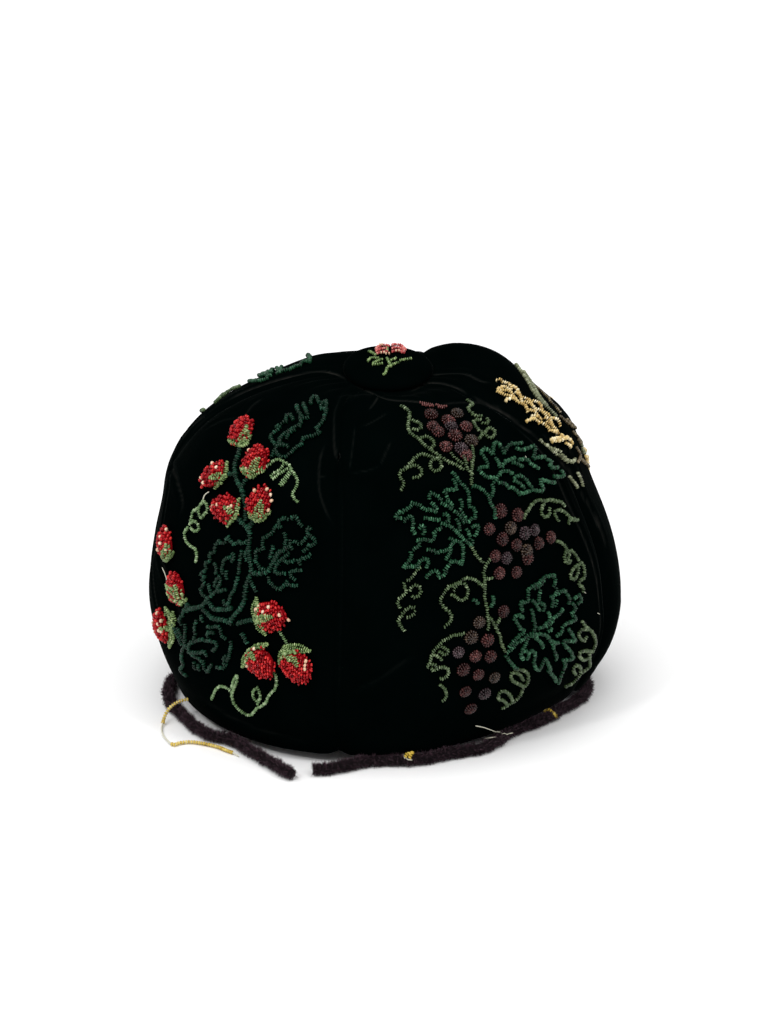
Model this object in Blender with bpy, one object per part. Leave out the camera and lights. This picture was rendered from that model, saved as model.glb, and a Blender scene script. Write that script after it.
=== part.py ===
"""A beaded velvet smoking cap, resting on its chenille edging.

Four velvet gores are gathered under a round padded button. Metres, +Z up, front towards -Y.
The origin is on the surface that the cap rests on, under the middle of the cap.
Angles round the cap are in degrees, from the front (-Y) and positive towards +X.
A share is how far up the cap's side a place is: 0 at the rim, 1 at the gathers under the button.
"""

import math

import bmesh
import bpy
from mathutils import Vector

# Driving dimensions
CLOTH = 0.0022
FACE_GAP = 0.0003
CORD_RADIUS = 0.003
RIM_HEIGHT = 2 * CORD_RADIUS + FACE_GAP
STRING_RADIUS = 0.0009
BUTTON_THICKNESS = 0.0022
BUTTON_DOME = 0.0026

# Upright sections through the cap's outer side, from the rim up to the gathers
PROFILE = (
    # height, left, right, front, back
    (RIM_HEIGHT, 0.0900, 0.0900, 0.0780, 0.0780),
    (0.0210, 0.0970, 0.1000, 0.0830, 0.0820),
    (0.0450, 0.1021, 0.1033, 0.0870, 0.0860),
    (0.0750, 0.0995, 0.0985, 0.0855, 0.0850),
    (0.1050, 0.0945, 0.0875, 0.0790, 0.0780),
    (0.1270, 0.0810, 0.0785, 0.0660, 0.0640),
    (0.1410, 0.0590, 0.0590, 0.0490, 0.0460),
    (0.1476, 0.0370, 0.0410, 0.0350, 0.0310),
    (0.1490, 0.0200, 0.0210, 0.0200, 0.0195),
    (0.1488, 0.0070, 0.0070, 0.0070, 0.0070),
)

# How far out the rim and the belly stand, as a part of the oval that the sections give
PLAN = (
    # angle, rim, belly
    (-180, 1.000, 1.000),
    (-135, 1.010, 1.005),
    (-90, 1.005, 1.000),
    (-60, 1.000, 1.000),
    (-30, 1.030, 1.010),
    (-10, 1.020, 1.010),
    (10, 0.987, 1.000),
    (25, 0.920, 0.980),
    (45, 0.878, 0.960),
    (65, 0.893, 0.970),
    (90, 1.000, 1.010),
    (135, 1.010, 1.000),
    (180, 1.000, 1.000),
)
BELLY_HEIGHT = 0.045
SHOULDER_HEIGHT = 0.105

# The crown stands a little off the middle, and the gathers and the button tip towards the front
CROWN_AT = (0.002, -0.004)
CROWN_TIP = math.radians(10)
CROWN_AXIS = Vector((0, -math.sin(CROWN_TIP), math.cos(CROWN_TIP)))
CROWN_RADIUS = 0.030

# Where the velvet is pushed out or in: the stuffing's lumps and the larger folds
SWELLS = (
    # angle, share, reach in degrees, reach in share, outwards
    (140, 0.840, 22, 0.060, 0.0044),
    (122, 0.790, 28, 0.070, 0.0046),
    (70, 0.900, 20, 0.040, 0.0012),
    (0, 0.860, 30, 0.030, 0.0018),
    (5, 0.905, 26, 0.020, -0.0020),
    (-40, 0.900, 12, 0.030, -0.0014),
    (-120, 0.850, 25, 0.050, 0.0010),
    (-89, 0.430, 9, 0.020, -0.0016),
    (-92, 0.350, 12, 0.045, 0.0018),
    (-80, 0.560, 8, 0.070, -0.0014),
    (74, 0.230, 7, 0.050, -0.0016),
    (82, 0.500, 6, 0.120, -0.0010),
    (100, 0.350, 18, 0.120, 0.0006),
    (-150, 0.300, 20, 0.120, 0.0012),
    (165, 0.450, 14, 0.100, -0.0012),
)

# The seams between the gores: the angle of each at four shares of the way up
SEAMS = (
    # name of the gore on its right, at the rim, half way, three quarters, at the gathers
    ("gore_strawberry", -90, -87, -86, -84),
    ("gore_grape", -12, -12, -20, -35),
    ("gore_wheat", 76, 69, 56, 52),
    ("gore_vine", 172, 172, 165, 150),
)
SEAM_SHARES = (0.0, 0.5, 0.75, 0.92)
SEAM_GROOVE = 0.0012
SEAM_WIDTH = 0.004
ACROSS = 16
UPWARDS = 22

# The small pleats that draw the velvet together round the button
PLEATS = 30
PLEAT_DEPTH = 0.0005

# The padded strawberries on the front left gore
STRAWBERRIES = (
    # angle, share, lean of the tip to the right, length, width
    (-58, 0.680, -45, 0.0160, 0.0105),
    (-43, 0.635, -25, 0.0150, 0.0110),
    (-54, 0.570, -144, 0.0145, 0.0110),
    (-45, 0.520, -94, 0.0145, 0.0120),
    (-35, 0.555, -11, 0.0145, 0.0105),
    (-67, 0.385, -27, 0.0145, 0.0120),
    (-59, 0.310, -33, 0.0150, 0.0115),
    (-66, 0.205, -28, 0.0145, 0.0120),
    (-27, 0.325, 78, 0.0140, 0.0130),
    (-29, 0.215, 153, 0.0140, 0.0120),
    (-20, 0.220, 158, 0.0150, 0.0120),
)
PAD_HEIGHT = 0.0030

# The chenille edging that is still sewn on runs from the front seam round the right and the back
EDGE_FROM = -18.0
EDGE_TO = 261.0
EDGE_STEPS = 60
CUT_END_OUT = 0.0040
CUT_END_REACH = 14.0

# Its free end lies on the surface and was followed point by point
LOOSE_CORD = (
    (-0.0920, 0.0080),
    (-0.0944, 0.0005),
    (-0.0948, -0.0124),
    (-0.0924, -0.0229),
    (-0.0883, -0.0312),
    (-0.0834, -0.0414),
    (-0.0775, -0.0505),
    (-0.0719, -0.0555),
    (-0.0654, -0.0580),
    (-0.0600, -0.0644),
    (-0.0533, -0.0732),
    (-0.0472, -0.0809),
    (-0.0411, -0.0886),
    (-0.0379, -0.0924),
)
LOOSE_HEIGHT = 0.0032

# The yellow string comes from the velvet over the loose cord and down to the surface
BEAD_STRING = (
    (-0.0850, -0.0308, 0.0090),
    (-0.0872, -0.0314, 0.0088),
    (-0.0897, -0.0323, 0.0081),
    (-0.0926, -0.0338, 0.0063),
    (-0.0946, -0.0358, 0.0034),
    (-0.0953, -0.0388, 0.0014),
    (-0.0955, -0.0435, 0.0011),
    (-0.0944, -0.0499, 0.0011),
    (-0.0920, -0.0558, 0.0011),
    (-0.0893, -0.0596, 0.0011),
    (-0.0866, -0.0578, 0.0011),
    (-0.0821, -0.0568, 0.0011),
    (-0.0760, -0.0588, 0.0011),
    (-0.0705, -0.0618, 0.0011),
    (-0.0672, -0.0647, 0.0011),
    (-0.0642, -0.0672, 0.0011),
)


def clear_scene():
    for thing in list(bpy.data.objects):
        bpy.data.objects.remove(thing)


def finish(name, colour, roughness):
    """A plain surface of that colour."""
    made = bpy.data.materials.new(name)
    made.use_nodes = True
    shader = made.node_tree.nodes["Principled BSDF"]
    shader.inputs["Base Color"].default_value = (*colour, 1.0)
    shader.inputs["Roughness"].default_value = roughness
    return made


def catmull(before, start, end, after, share):
    """The point that share of the way from start to end on a smooth curve through them."""
    square = share * share
    return 0.5 * (
        2 * start
        + (end - before) * share
        + (2 * before - 5 * start + 4 * end - after) * square
        + (3 * start - before - 3 * end + after) * square * share
    )


def smooth_line(points, parts):
    """A smooth line through the points, with that many steps between each pair."""
    points = [Vector(point) for point in points]
    ends = [2 * points[0] - points[1], *points, 2 * points[-1] - points[-2]]
    line = [
        catmull(*ends[i : i + 4], step / parts)
        for i in range(len(points) - 1)
        for step in range(parts)
    ]
    return [*line, points[-1]]


def evenly(line, count):
    """Count + 1 points an equal length apart along a line."""
    along = [0.0]
    for start, end in zip(line, line[1:]):
        along.append(along[-1] + (end - start).length)
    spaced = []
    at = 0
    for step in range(count + 1):
        wanted = along[-1] * step / count
        while at < len(line) - 2 and along[at + 1] < wanted:
            at += 1
        share = (wanted - along[at]) / (along[at + 1] - along[at])
        spaced.append(line[at].lerp(line[at + 1], share))
    return spaced


def section(column):
    """One of the four upright sections, read evenly along its length."""
    points = [(row[column], row[0], 0) for row in PROFILE]
    return evenly(smooth_line(points, 12), 240)


LEFT, RIGHT, FRONT, BACK = [section(column) for column in (1, 2, 3, 4)]


def on_line(line, share):
    """The point that share of the way along a line of evenly spaced points."""
    place = min(max(share, 0.0), 1.0) * (len(line) - 1)
    low = min(int(place), len(line) - 2)
    return line[low].lerp(line[low + 1], place - low)


def ramp(value, start, end):
    """0 up to start, 1 from end, and smooth between."""
    share = min(max((value - start) / (end - start), 0.0), 1.0)
    return share * share * (3 - 2 * share)


def turned(angle):
    """The same angle, from -180 to 180 degrees."""
    return (angle + 180) % 360 - 180


def plan_at(angle, column):
    """A column of the plan, read smoothly at that angle."""
    angle = turned(angle)
    at = max(i for i in range(len(PLAN) - 1) if PLAN[i][0] <= angle)
    share = (angle - PLAN[at][0]) / (PLAN[at + 1][0] - PLAN[at][0])
    before = PLAN[at - 1] if at else PLAN[-2]
    after = PLAN[at + 2] if at + 2 < len(PLAN) else PLAN[1]
    here = (before, PLAN[at], PLAN[at + 1], after)
    return catmull(*[row[column] for row in here], share)


def stuffed(angle, share):
    """The cap's outer side before its swells, seams and pleats."""
    turn = math.radians(angle)
    side = on_line(RIGHT if math.sin(turn) > 0 else LEFT, share)
    depth = on_line(FRONT if math.cos(turn) > 0 else BACK, share)
    height = side.y * math.sin(turn) ** 2 + depth.y * math.cos(turn) ** 2
    low = ramp(height, RIM_HEIGHT, BELLY_HEIGHT)
    high = ramp(height, BELLY_HEIGHT, SHOULDER_HEIGHT)
    out = plan_at(angle, 1) * (1 - low) + (plan_at(angle, 2) * (1 - high) + high) * low
    crown = ramp(height, 0.09, 0.15)
    east = side.x * math.sin(turn)
    north = -depth.x * math.cos(turn)
    tipped = ramp(math.hypot(east, north), CROWN_RADIUS, 0.6 * CROWN_RADIUS)
    height += north * math.tan(CROWN_TIP) * tipped
    return Vector((east * out + CROWN_AT[0] * crown, north * out + CROWN_AT[1] * crown, height))


def seam_angle(seam, share):
    """The angle of a seam, that share of the way up."""
    angles = SEAMS[seam % 4][1:]
    full = 360 * (seam // 4)
    if share >= SEAM_SHARES[-1]:
        return angles[-1] + full
    at = max(i for i in range(3) if SEAM_SHARES[i] <= share)
    step = (share - SEAM_SHARES[at]) / (SEAM_SHARES[at + 1] - SEAM_SHARES[at])
    before = angles[max(at - 1, 0)]
    after = angles[min(at + 2, 3)]
    return catmull(before, angles[at], angles[at + 1], after, step) + full


def relief(angle, share):
    """How far the velvet stands out from the stuffed shape at that place."""
    out = 0.0
    for at, up, wide, tall, swell in SWELLS:
        aside = turned(angle - at) / wide
        above = (share - up) / tall
        out += swell * math.exp(-(aside * aside + above * above))
    radius = stuffed(angle, share).xy.length
    for seam in range(4):
        aside = math.radians(turned(angle - seam_angle(seam, share))) * radius / SEAM_WIDTH
        out -= SEAM_GROOVE * math.exp(-aside * aside)
    pleated = PLEAT_DEPTH * math.sin(math.radians(angle) * PLEATS) * ramp(share, 0.80, 0.88)
    return (out + pleated) * ramp(share, 0.938, 0.910)


def outwards(angle, share):
    """The direction that the stuffed shape faces at that place."""
    low = max(share - 0.01, 0.0)
    high = min(share + 0.01, 1.0)
    across = stuffed(angle + 1, share) - stuffed(angle - 1, share)
    upwards = stuffed(angle, high) - stuffed(angle, low)
    return across.cross(upwards).normalized()


def face(angle, share, raised=0.0):
    """The point of the velvet at that angle and share, raised from its outer face."""
    out = relief(angle, share) * ramp(share, 0.0, 0.06)
    return stuffed(angle, share) + outwards(angle, share) * (out + raised)


def add(name, shape, material):
    """A named object from a bmesh."""
    mesh = bpy.data.meshes.new(name)
    shape.to_mesh(mesh)
    shape.free()
    mesh.shade_smooth()
    mesh.set_sharp_from_angle(angle=math.radians(40))
    mesh.materials.append(material)
    made = bpy.data.objects.new(name, mesh)
    bpy.context.scene.collection.objects.link(made)
    return made


def gore(seam, material):
    """One velvet gore: a flat grid laid on the cap's outer side, and its wall's thickness."""
    shape = bmesh.new()
    bmesh.ops.create_grid(shape, x_segments=ACROSS, y_segments=UPWARDS, size=1)
    inner = bmesh.ops.extrude_face_region(shape, geom=shape.faces[:])["geom"]
    inner = {vert for vert in inner if isinstance(vert, bmesh.types.BMVert)}
    for vert in shape.verts:
        rise = (vert.co.y + 1) / 2
        share = rise * (1.45 - 0.45 * rise)
        start = seam_angle(seam, share)
        end = seam_angle(seam + 1, share)
        margin = math.degrees(0.6 * FACE_GAP / stuffed(start, share).xy.length)
        angle = start + margin + (end - start - 2 * margin) * (vert.co.x + 1) / 2
        vert.co = face(angle, share, -CLOTH if vert in inner else 0.0)
    bmesh.ops.recalc_face_normals(shape, faces=shape.faces)
    return add(SEAMS[seam][0], shape, material)


def join(shape, low, high):
    """Faces between two rings of as many points."""
    count = len(low)
    for i in range(count):
        shape.faces.new((low[i], low[(i + 1) % count], high[(i + 1) % count], high[i]))


def crown_button(material):
    """The padded button: rings of points over the gathers, flat underneath and domed on top."""
    shape = bmesh.new()
    shares = (0.942, 0.948, 0.962, 0.976, 0.990)
    under = []
    over = []
    for ring, share in enumerate(shares):
        inwards = ring / len(shares)
        dome = BUTTON_THICKNESS + BUTTON_DOME * (1 - (1 - inwards) ** 2)
        bottom = []
        top = []
        for step in range(32):
            angle = 360 * step / 32
            flat = stuffed(angle, share)
            bottom.append(shape.verts.new(flat + CROWN_AXIS * (FACE_GAP + (0.0006 if not ring else 0))))
            top.append(shape.verts.new(flat + CROWN_AXIS * (FACE_GAP + dome * (0.7 if not ring else 1))))
        under.append(bottom)
        over.append(top)
    for rings in (under, over):
        for outer, inner in zip(rings, rings[1:]):
            join(shape, outer, inner)
        shape.faces.new(rings[-1])
    join(shape, under[0], over[0])
    bmesh.ops.recalc_face_normals(shape, faces=shape.faces)
    return add("crown_button", shape, material)


def tube(name, points, radius, sides, material):
    """A closed tube along the points, with a flat side down."""
    shape = bmesh.new()
    reach = radius / math.cos(math.pi / sides)
    rings = []
    for i, point in enumerate(points):
        along = (points[min(i + 1, len(points) - 1)] - points[max(i - 1, 0)]).normalized()
        aside = along.cross(Vector((0, 0, 1))).normalized()
        upwards = aside.cross(along)
        turns = [2 * math.pi * (side + 0.5) / sides for side in range(sides)]
        rings.append(
            [
                shape.verts.new(point + (aside * math.sin(turn) + upwards * math.cos(turn)) * reach)
                for turn in turns
            ]
        )
    for low, high in zip(rings, rings[1:]):
        join(shape, low, high)
    shape.faces.new(rings[0])
    shape.faces.new(rings[-1])
    bmesh.ops.recalc_face_normals(shape, faces=shape.faces)
    return add(name, shape, material)


def strawberry(number, row, material):
    """A padded strawberry: a flattened ball laid on the velvet, narrower at its tip."""
    angle, share, lean, length, width = row
    shape = bmesh.new()
    bmesh.ops.create_uvsphere(shape, u_segments=12, v_segments=6, radius=1)
    radius = stuffed(angle, share).xy.length
    upwards = (stuffed(angle, share + 0.01) - stuffed(angle, share - 0.01)).length / 0.02
    lean = math.radians(lean)
    for vert in shape.verts:
        long = vert.co.y * length / 2
        wide = vert.co.x * width / 2 * (1 - 0.2 * vert.co.y)
        aside = wide * math.cos(lean) + long * math.sin(lean)
        above = long * math.cos(lean) - wide * math.sin(lean)
        thick = FACE_GAP + 0.0008 + (PAD_HEIGHT if vert.co.z > 0 else 0.0008) * vert.co.z
        vert.co = face(angle + math.degrees(aside / radius), share + above / upwards, thick)
    return add(f"strawberry_{number}", shape, material)


def edge_line():
    """The middle of the sewn edging, under the rim, with its cut end bent a little outwards."""
    line = []
    for step in range(EDGE_STEPS + 1):
        angle = EDGE_FROM + (EDGE_TO - EDGE_FROM) * step / EDGE_STEPS
        under = stuffed(angle, 0.0).xy
        bent = CUT_END_OUT * ramp(angle - EDGE_FROM, CUT_END_REACH, 0.0)
        line.append(Vector((*(under + under.normalized() * bent), CORD_RADIUS)))
    return line


def main():
    clear_scene()
    velvet = finish("black_velvet", (0.006, 0.007, 0.009), 0.95)
    for seam in range(4):
        gore(seam, velvet)
    crown_button(finish("button_velvet", (0.006, 0.007, 0.009), 0.95))
    chenille = finish("chenille", (0.045, 0.018, 0.028), 0.95)
    tube("edge_cord", edge_line(), CORD_RADIUS, 8, chenille)
    loose = [Vector((*point, LOOSE_HEIGHT)) for point in LOOSE_CORD]
    frayed = finish("loose_chenille", (0.06, 0.025, 0.038), 0.95)
    tube("loose_cord", smooth_line(loose, 2), CORD_RADIUS, 8, frayed)
    yellow = finish("yellow_beads", (0.7, 0.45, 0.06), 0.3)
    tube("bead_string", smooth_line(BEAD_STRING, 2), STRING_RADIUS, 6, yellow)
    for number, row in enumerate(STRAWBERRIES):
        red = finish(f"berry_{number + 1}", (0.5, 0.02, 0.025), 0.3)
        strawberry(number + 1, row, red)


main()
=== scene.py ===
# %% [markdown]
# A smoking cap is a soft indoor cap. This one is black velvet, worked all over in glass seed beads.
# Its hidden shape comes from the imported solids, so the first step loads them as a fixed frame. The
# looks are then built over them: velvet first, then the beads strand by strand, then the chenille.

# %% Load the frame
import math
import random

import bmesh
import bpy
import numpy as np
from mathutils import Matrix, Vector
from mathutils.bvhtree import BVHTree


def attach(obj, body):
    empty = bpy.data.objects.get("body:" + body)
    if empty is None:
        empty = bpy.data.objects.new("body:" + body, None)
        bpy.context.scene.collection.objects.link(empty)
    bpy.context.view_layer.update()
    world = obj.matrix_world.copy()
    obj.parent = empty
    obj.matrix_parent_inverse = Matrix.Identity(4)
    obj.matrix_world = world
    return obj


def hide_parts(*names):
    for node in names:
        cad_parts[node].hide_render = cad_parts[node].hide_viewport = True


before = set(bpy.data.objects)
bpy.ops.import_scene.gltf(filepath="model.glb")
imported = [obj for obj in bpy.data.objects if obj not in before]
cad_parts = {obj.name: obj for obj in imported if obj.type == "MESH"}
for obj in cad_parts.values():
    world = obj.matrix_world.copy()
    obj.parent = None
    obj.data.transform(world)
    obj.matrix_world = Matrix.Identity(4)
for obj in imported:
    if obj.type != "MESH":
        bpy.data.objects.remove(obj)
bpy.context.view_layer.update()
chance = random.Random(11)

# %% [markdown]
# The photograph was taken from in front and a little above, from rather more than a metre away. The
# camera comes first, because every strand of beads is charted where the photograph shows it. A point
# of the picture gives a ray, and where the ray meets the velvet is where the strand is sewn.

# %% The camera
AIM = Vector((0.0, 0.0, 0.084))
RAISED = math.radians(20.9)
DISTANCE = 1.29
LENS = 104.7
SENSOR = 36.0
EYE = AIM + DISTANCE * Vector((0.0, -math.cos(RAISED), math.sin(RAISED)))
LOOK = (AIM - EYE).to_track_quat("-Z", "Y")


def placed(name, data):
    """Puts a mesh, a camera or a lamp into the scene as an object."""
    made = bpy.data.objects.new(name, data)
    bpy.context.scene.collection.objects.link(made)
    return made


camera_data = bpy.data.cameras.new("camera")
camera_data.lens = LENS
camera_data.sensor_width = SENSOR
camera = placed("camera", camera_data)
camera.location = EYE
camera.rotation_euler = LOOK.to_euler()
bpy.context.scene.camera = camera
bpy.context.scene.view_settings.view_transform = "Standard"
print("camera at", [round(v, 3) for v in EYE])


# %% A ray through a point of the picture
PICTURE_WIDE = 768
PICTURE_HIGH = 1024
TURN = LOOK.to_matrix()


def ray(x, y):
    """The direction from the eye through that point of the picture."""
    across = (x - PICTURE_WIDE / 2) / PICTURE_HIGH * SENSOR / LENS
    down = (y - PICTURE_HIGH / 2) / PICTURE_HIGH * SENSOR / LENS
    return (TURN @ Vector((across, -down, -1.0))).normalized()


print("through the middle:", [round(v, 3) for v in ray(PICTURE_WIDE / 2, PICTURE_HIGH / 2)])


# %% [markdown]
# Velvet is a cloth with a dense short pile. Face on it swallows light and looks black; edge on, and
# where it is rubbed along a fold, the tips of the pile catch the light and it looks grey. Sheen on
# the shader does the first. An attribute, painted on the mesh along each fold, does the second.

# %% Helpers for materials
def material(name, sockets):
    """A new material with values on its shader's own sockets, then its node tree and its shader."""
    made = bpy.data.materials.new(name)
    made.use_nodes = True
    tree = made.node_tree
    shader = tree.nodes["Principled BSDF"]
    for socket, value in sockets.items():
        shader.inputs[socket].default_value = value
    return made, tree, shader


def noise(tree, scale, detail=2.0):
    """A noise texture in the object's own coordinates."""
    place = tree.nodes.new("ShaderNodeTexCoord")
    made = tree.nodes.new("ShaderNodeTexNoise")
    made.inputs["Scale"].default_value = scale
    made.inputs["Detail"].default_value = detail
    tree.links.new(place.outputs["Object"], made.inputs["Vector"])
    return made.outputs["Fac"]


def ramp(tree, factor, *stops):
    """A colour ramp; each stop is its place and its colour."""
    made = tree.nodes.new("ShaderNodeValToRGB")
    marks = made.color_ramp.elements
    while len(marks) < len(stops):
        marks.new(0.5)
    for mark, (place, colour) in zip(marks, stops):
        mark.position = place
        mark.color = (*colour, 1.0)
    tree.links.new(factor, made.inputs["Fac"])
    return made.outputs["Color"]


def bump(tree, shader, height, depth, strength=1.0):
    """Roughens the shader's surface by that height."""
    made = tree.nodes.new("ShaderNodeBump")
    made.inputs["Strength"].default_value = strength
    made.inputs["Distance"].default_value = depth
    tree.links.new(height, made.inputs["Height"])
    tree.links.new(made.outputs["Normal"], shader.inputs["Normal"])


def attribute(tree, name):
    """A number that the mesh carries at each point."""
    made = tree.nodes.new("ShaderNodeAttribute")
    made.attribute_name = name
    return made.outputs["Fac"]


print("material helpers ready")


# %% The velvet's finish
MOTTLE_SHARE = 0.22
VELVET_SOCKETS = {
    "Roughness": 0.95,
    "Specular IOR Level": 0.0,
    "Sheen Weight": 0.035,
    "Sheen Roughness": 0.22,
    "Sheen Tint": (0.52, 0.55, 0.52, 1.0),
}


def velvet_finish():
    """Black pile with a weak sheen, a little mottled, and paler along the folds, partly from wear and
    partly a painted sheen.
    """
    made, tree, shader = material("black_velvet_pile", VELVET_SOCKETS)
    # the folds' attribute makes the pile paler: partly wear, partly a painted sheen where the pile would
    # catch the light
    paler = tree.nodes.new("ShaderNodeMath")
    paler.operation = "MULTIPLY_ADD"
    paler.inputs[1].default_value = MOTTLE_SHARE
    tree.links.new(noise(tree, 60.0, 4.0), paler.inputs[0])
    tree.links.new(attribute(tree, "wear_and_sheen"), paler.inputs[2])
    colour = ramp(
        tree,
        paler.outputs["Value"],
        (0.00, (0.0001, 0.0006, 0.0005)),
        (0.18, (0.0004, 0.0013, 0.0012)),
        (0.50, (0.0060, 0.0065, 0.0058)),
        (1.00, (0.0300, 0.0280, 0.0240)),
    )
    tree.links.new(colour, shader.inputs["Base Color"])
    bump(tree, shader, noise(tree, 1100.0, 3.0), 0.0004, 0.5)
    return made


VELVET = velvet_finish()
print(VELVET.name)

# %% [markdown]
# The folds and creases are charted as the photograph shows them. Each has a width and a depth in
# millimetres, a share of paler pile, partly rubbed and partly a painted sheen, and a line of picture
# points. On the hidden sides a line goes by angles round the cap instead. Seams and creases are both
# grooves, with the pile rubbed along them and a painted sheen on them.
# Four wide swells bring the cloth out to the photograph's outline, or in where the height is negative.

# %% The folds in the velvet
FOLDS = (
    # width, depth, share of wear and painted sheen, points of the picture
    (1.5, 0.9, 0.45, ((351, 385), (341, 396), (335, 411), (334, 424), (335, 450), (340, 464))),
    (1.1, 0.5, 0.12, ((340, 464), (342, 520), (341, 600), (339, 680), (337, 745))),
    (1.4, 0.7, 0.55, ((351, 385), (367, 390), (376, 394), (391, 399), (417, 401), (445, 407))),
    (1.2, 0.5, 0.40, ((378, 397), (373, 404), (369, 410))),
    (1.2, 0.5, 0.25, ((388, 412), (375, 420), (361, 427))),
    (1.4, 0.5, 0.30, ((326, 442), (320, 459), (319, 488), (325, 509), (333, 525))),
    (1.0, 0.4, 0.25, ((318, 476), (328, 476))),
    (1.2, 0.4, 0.25, ((349, 473), (365, 471), (380, 466))),
    (1.4, 0.8, 0.60, ((409, 392), (425, 383), (438, 382), (448, 384), (459, 388), (468, 395))),
    (1.4, 0.8, 0.55, ((468, 395), (482, 401), (509, 416), (540, 441), (567, 468), (577, 488))),
    (1.4, 0.8, 0.55, ((577, 488), (591, 508), (603, 534), (607, 553))),
    (1.0, 0.3, 0.45, ((585, 498), (597, 524), (605, 543))),
    (1.8, 0.7, 0.50, ((431, 374), (450, 373), (467, 374), (480, 380), (494, 384))),
    (1.4, 0.9, 0.60, ((347, 383), (342, 377), (323, 372), (293, 376), (250, 389), (216, 406))),
    (1.4, 0.9, 0.55, ((216, 406), (190, 428), (171, 457))),
    (1.6, 0.7, 0.40, ((170, 461), (177, 483), (182, 503), (179, 517))),
    (1.8, 1.0, 0.45, ((157, 550), (164, 571), (178, 612), (183, 640))),
    (2.4, 0.5, 0.14, ((353, 692), (380, 679), (406, 661), (420, 657))),
    (2.0, 0.5, 0.22, ((200, 700), (240, 722), (290, 738), (330, 742))),
    (1.6, 0.4, 0.25, ((245, 415), (252, 405), (262, 398))),
    (1.8, 0.5, 0.25, ((540, 430), (548, 440), (560, 449), (573, 452), (576, 460))),
    (1.6, 0.4, 0.30, ((438, 404), (470, 402), (505, 408))),
    (1.2, 0.5, 0.60, ((560, 404), (573, 420), (583, 437), (590, 452))),
    (1.2, 0.5, 0.40, ((572, 452), (578, 466), (582, 482))),
    (1.4, 0.5, 0.60, ((157, 548), (153, 560), (156, 600), (166, 640))),
    (1.2, 0.4, 0.35, ((172, 462), (168, 490), (163, 520), (160, 545))),
    (1.2, 0.4, 0.25, ((355, 425), (352, 450), (349, 473))),
    (1.2, 0.4, 0.25, ((392, 440), (386, 452), (380, 466))),
    (1.2, 0.4, 0.20, ((205, 428), (222, 420), (240, 417))),
)
HIDDEN_FOLDS = (
    # width, depth, share of wear and painted sheen, then the angle round the cap and the rise over its
    # middle in degrees
    (1.3, 0.6, 0.60, ((76, -24), (73, -5), (69, 15), (60, 40), (55, 56))),
    (1.3, 0.6, 0.60, ((172, -24), (172, -5), (172, 15), (167, 40), (160, 56))),
    (1.3, 0.6, 0.60, ((268, -24), (270, -5), (272, 15), (273, 40), (274, 56))),
    (1.6, 0.6, 0.50, ((92, 52), (98, 42), (101, 31))),
    (1.6, 0.6, 0.50, ((112, 56), (116, 46), (120, 38))),
    (1.6, 0.6, 0.45, ((138, 54), (138, 44), (142, 34))),
    (1.6, 0.6, 0.50, ((185, 56), (190, 46), (192, 36))),
    (1.6, 0.6, 0.45, ((210, 55), (214, 46), (214, 38))),
    (1.6, 0.6, 0.50, ((240, 55), (240, 44), (244, 33))),
    (2.0, 0.7, 0.38, ((100, -20), (112, -14), (126, -16))),
    (2.0, 0.7, 0.38, ((150, -18), (160, -10), (168, -6))),
    (2.0, 0.7, 0.38, ((182, -12), (192, -17), (206, -15))),
    (2.0, 0.7, 0.38, ((250, -16), (258, -10), (266, -10))),
)
SWELLS = (
    # place, reach and height
    ((-0.0985, 0.0, 0.052), 0.018, 0.0016),
    ((-0.0990, 0.0, 0.083), 0.014, -0.0012),
    ((-0.024, 0.020, 0.150), 0.022, 0.0021),
    ((0.047, 0.020, 0.148), 0.018, 0.0024),
)
print("folds charted:", len(FOLDS) + len(HIDDEN_FOLDS))


# %% A smooth line through charted points
def smooth(points, parts=6):
    """A smooth line through the points, with that many steps between each pair."""
    points = [Vector(point) for point in points]
    ends = [2 * points[0] - points[1], *points, 2 * points[-1] - points[-2]]
    line = []
    for before, start, end, after in zip(ends, ends[1:], ends[2:], ends[3:]):
        for step in range(parts):
            t = step / parts
            pull = 2 * start + (end - before) * t
            pull += (2 * before - 5 * start + 4 * end - after) * t * t
            pull += (3 * start - before - 3 * end + after) * t * t * t
            line.append(pull / 2)
    return [*line, points[-1]]


def evenly(line, spacing):
    """Points along a line with as near as possible that spacing."""
    along = [0.0]
    for start, end in zip(line, line[1:]):
        along.append(along[-1] + (end - start).length)
    count = max(1, round(along[-1] / spacing))
    found = []
    at = 0
    for step in range(count + 1):
        wanted = along[-1] * step / count
        while at < len(line) - 2 and along[at + 1] < wanted:
            at += 1
        gap = max(along[at + 1] - along[at], 1e-9)
        found.append(line[at].lerp(line[at + 1], (wanted - along[at]) / gap))
    return found


print("a straight line of 10 in steps of 2:", len(evenly([Vector((0, 0)), Vector((10, 0))], 2)))


# %% [markdown]
# Each gore starts as a copy of its solid. The solid is loose triangles, so the copy is merged and its
# triangles are joined back into squares. Subdivision then rounds it without moving its outline.

# %% Round velvet from a solid
def rounded(name, node, levels):
    """A new mesh object: the node's solid in squares, subdivided."""
    shape = bmesh.new()
    shape.from_mesh(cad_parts[node].data)
    bmesh.ops.remove_doubles(shape, verts=shape.verts, dist=0.00001)
    bmesh.ops.join_triangles(
        shape,
        faces=shape.faces,
        cmp_seam=False,
        cmp_sharp=False,
        cmp_uvs=False,
        cmp_vcols=False,
        cmp_materials=False,
        angle_face_threshold=math.radians(60),
        angle_shape_threshold=math.radians(60),
    )
    mesh = bpy.data.meshes.new(name)
    shape.to_mesh(mesh)
    shape.free()
    made = placed(name, mesh)
    rounder = made.modifiers.new("rounder", "SUBSURF")
    rounder.levels = levels
    rounder.render_levels = levels
    seen = made.evaluated_get(bpy.context.evaluated_depsgraph_get())
    fine = bpy.data.meshes.new_from_object(seen)
    made.modifiers.clear()
    made.data = fine
    fine.materials.clear()
    fine.materials.append(VELVET)
    fine.shade_smooth()
    return made


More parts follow.
